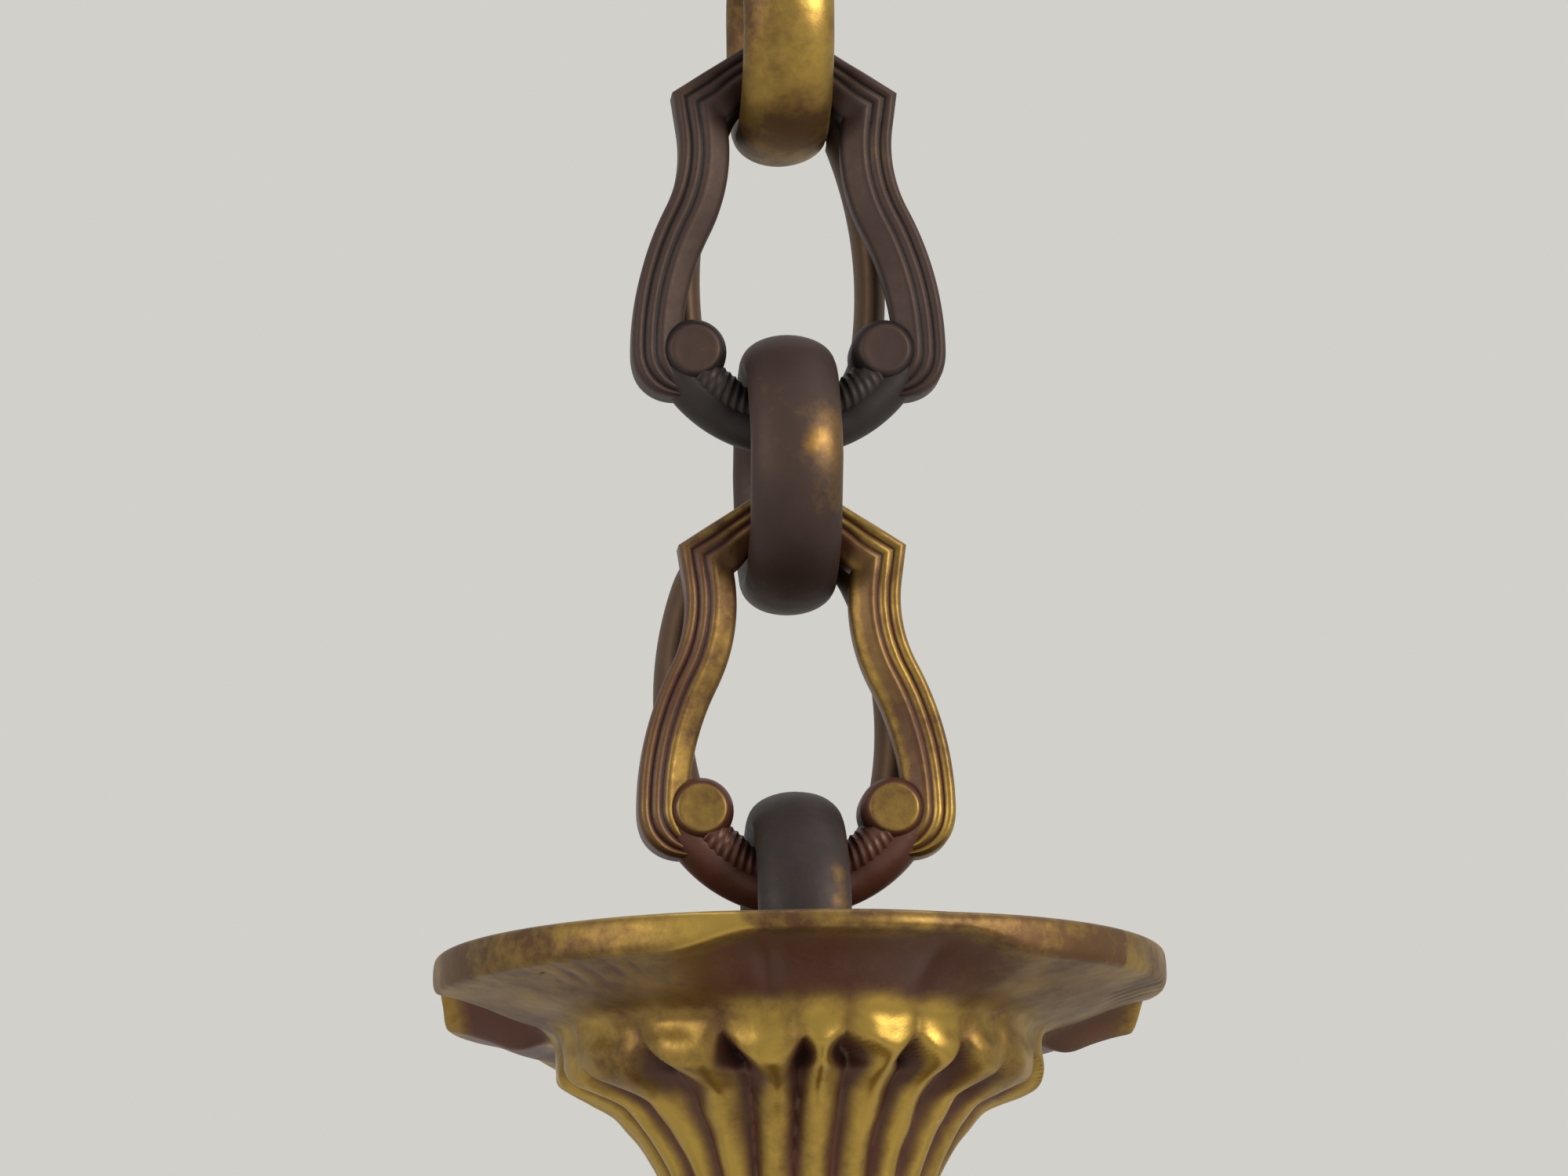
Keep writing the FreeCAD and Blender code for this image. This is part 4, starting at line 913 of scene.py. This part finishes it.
# reeds: their grooves hold dirt and painted shade
reeds = {"count": 8, "points": 40, "depth": 0.13, "dirtAndShade": 0.8}
reededRod = []
for point in range(reeds["points"]):
    angle = 2 * math.pi * point / reeds["points"]
    ridge = abs(math.cos(reeds["count"] / 2 * angle))
    reach = 1 - reeds["depth"] * (1 - ridge)
    reededRod.append((reach * math.cos(angle), reach * math.sin(angle), reeds["dirtAndShade"] * (1 - ridge) ** 1.5))


def huskSize(t):
    swell = math.sin(math.pi * min(1, t * armShape["huskEarly"])) ** 0.8
    return armShape["huskMouth"] + armShape["huskSwell"] * swell - armShape["huskThin"] * t


def sweepRod(bm, stations, sizeAt, deepen=1.0):
    # sizeAt gives the rod's radius for a share of the way along the stations
    places = []
    for i, (x, z, heading) in enumerate(stations):
        size = sizeAt(i / (len(stations) - 1))
        places.append(sectionPlace(x, 0, z, heading - 90, size, size * deepen))
    sweepSection(bm, reededRod, places)


def shapeArm():
    a = armShape
    armZ = middleZ("arm_hub")
    bm = bmesh.new()
    addLayers(bm, "hollow")
    line = walkLine(a["from"], armZ, 0, [(a["straight"], 0)] + a["walk"], a["step"])
    sweepRod(bm, line, lambda t: a["rod"] + (a["tip"] - a["rod"]) * t)

    # counter scroll from where the second bend ends
    first = walkLine(a["from"], armZ, 0, [(a["straight"], 0)] + a["walk"][:2], a["step"])
    x, z, heading = first[-1]
    scroll = walkLine(x, z, heading + 180, a["scroll"], a["step"])
    sweepRod(bm, scroll, lambda t: a["scrollRod"] + (a["scrollTip"] - a["scrollRod"]) * t, a["scrollDeep"])
    bead = bmesh.ops.create_uvsphere(bm, u_segments=28, v_segments=18, radius=a["bead"] * mm)["verts"]
    bmesh.ops.translate(bm, vec=(scroll[-1][0] * mm, 0, scroll[-1][1] * mm), verts=bead)

    # husks: one over the branch and one where the arm leaves the hub
    huskLine = walkLine(*first[-1], [(a["walk"][2][0], a["huskTurn"])], a["huskStep"])
    rootLine = walkLine(a["from"] + a["rootFrom"], armZ, 0, [(a["rootRun"], 0), a["walk"][0]], a["huskStep"])
    for path, width in ((huskLine, a["huskWidth"]), (rootLine, a["rootWidth"])):
        sweepRod(bm, path, lambda t: width * huskSize(t))

    # flange in the hub's panel, and the seat on the arm's end
    flange = turnProfile(bm, smoothLine(a["flange"], 3), [], a["flangeSegments"], (0, 0, 0), upward=True)
    bmesh.ops.rotate(bm, cent=(0, 0, 0), matrix=Matrix.Rotation(math.pi / 2, 3, "Y"), verts=flange)
    bmesh.ops.translate(bm, vec=(a["from"] * mm, 0, armZ * mm), verts=flange)
    tip = (line[-1][0], 0, line[-1][1])
    turnProfile(bm, smoothLine(a["seat"], 3), a["seatBands"], a["seatSegments"], tip, upward=True)
    return bm


# drip pans and candle nozzles on the arm ends
panTurn = {
    "profile": [(0, 0), (0, 13.6), (0.8, 15.4), (3.0, 22.4), (5.0, 30.0), (7.0, 37.4), (9.0, 42.4),
                (10.6, 45.2), (11.6, 46.1), (12.5, 46.2), (13.1, 45.4), (12.9, 44.2), (12.0, 42.6),
                (9.8, 36.6), (7.4, 28.6), (5.6, 21.6), (3.4, 16.4), (2.6, 13.2), (2.6, 0)],
    "lobes": 8, "depth": 3.8, "droop": 1.2, "reach": 46, "segments": 192,
}
nozzleTurn = {
    "profile": [(0, 0), (0, 12.6), (0.8, 13.2), (2.6, 13.2), (3.6, 12.2), (5.0, 9.6), (6.2, 8.9), (7.6, 9.2),
                (9.0, 10.0), (12.0, 12.8), (15.0, 14.8), (20.0, 15.8), (25.0, 15.9), (31.0, 15.2),
                (35.6, 14.5), (38.0, 14.8), (40.0, 16.0), (41.4, 16.6), (43.2, 16.6), (44.0, 16.0)],
    "bore": [(44.0, 11.4), (43.6, 11.0), (14.1, 11.0), (14.0, 0)],
    "bands": [(8, 38.5, 16, 1.8, 0.0)], "segments": 128,
}


def shapePan():
    low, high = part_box("drip_pan_1")
    bm = bmesh.new()
    p = panTurn
    dish = turnProfile(bm, smoothLine(p["profile"], 3), [], p["segments"], (0, 0, 0), upward=True)
    for vert in dish:
        share = (vert.co.xy.length / mm / p["reach"]) ** 2
        bearing = math.atan2(vert.co.y, vert.co.x)
        ridge = abs(math.cos(p["lobes"] / 2 * bearing))
        vert.co.xy *= 1 - p["depth"] / p["reach"] * share * (1 - ridge)
        vert.co.z += p["droop"] * mm * share * (ridge - 1) * share
    bmesh.ops.translate(bm, vec=((low[0] + high[0]) / 2, 0, low[2]), verts=bm.verts)
    return bm


def shapeNozzle():
    low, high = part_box("candle_nozzle_1")
    bm = bmesh.new()
    line = smoothLine(nozzleTurn["profile"], 3) + nozzleTurn["bore"]
    foot = ((low[0] + high[0]) / 2 / mm, 0, low[2] / mm)
    turnProfile(bm, line, nozzleTurn["bands"], nozzleTurn["segments"], foot, upward=True)
    return bm


armCount = 6


def placeRound(shape, stem, ending, sharpAngle):
    # a copy of the shape for each arm
    for number in range(1, armCount + 1):
        node = "%s_%d" % (stem, number)
        bm = shape.copy()
        turn = Matrix.Rotation(math.radians(360 / armCount * (number - 1)), 3, "Z")
        bmesh.ops.rotate(bm, cent=(0, 0, 0), matrix=turn, verts=bm.verts)
        finishPiece(bm, node + ending, giltBronze, "chandelier", [node], sharpAngle)
    shape.free()


placeRound(shapeArm(), "arm", "_cast", 50)
placeRound(shapePan(), "drip_pan", "_spun", 45)
placeRound(shapeNozzle(), "candle_nozzle", "_spun", 45)


# solids whose shape is right keep it, and take their finish
finishes = {"dark_patinated_bronze": darkBronze, "worn_gilt_bronze": giltBronze, "black_iron": blackIron}
for part in frame["record"]["subparts"]:
    node = frame["nodes"][part["node"]]
    finish = strapBronze if part["node"].startswith("oval") else finishes[part["material_slot"]]
    for slotPlace in node.material_slots:
        slotPlace.material = finish
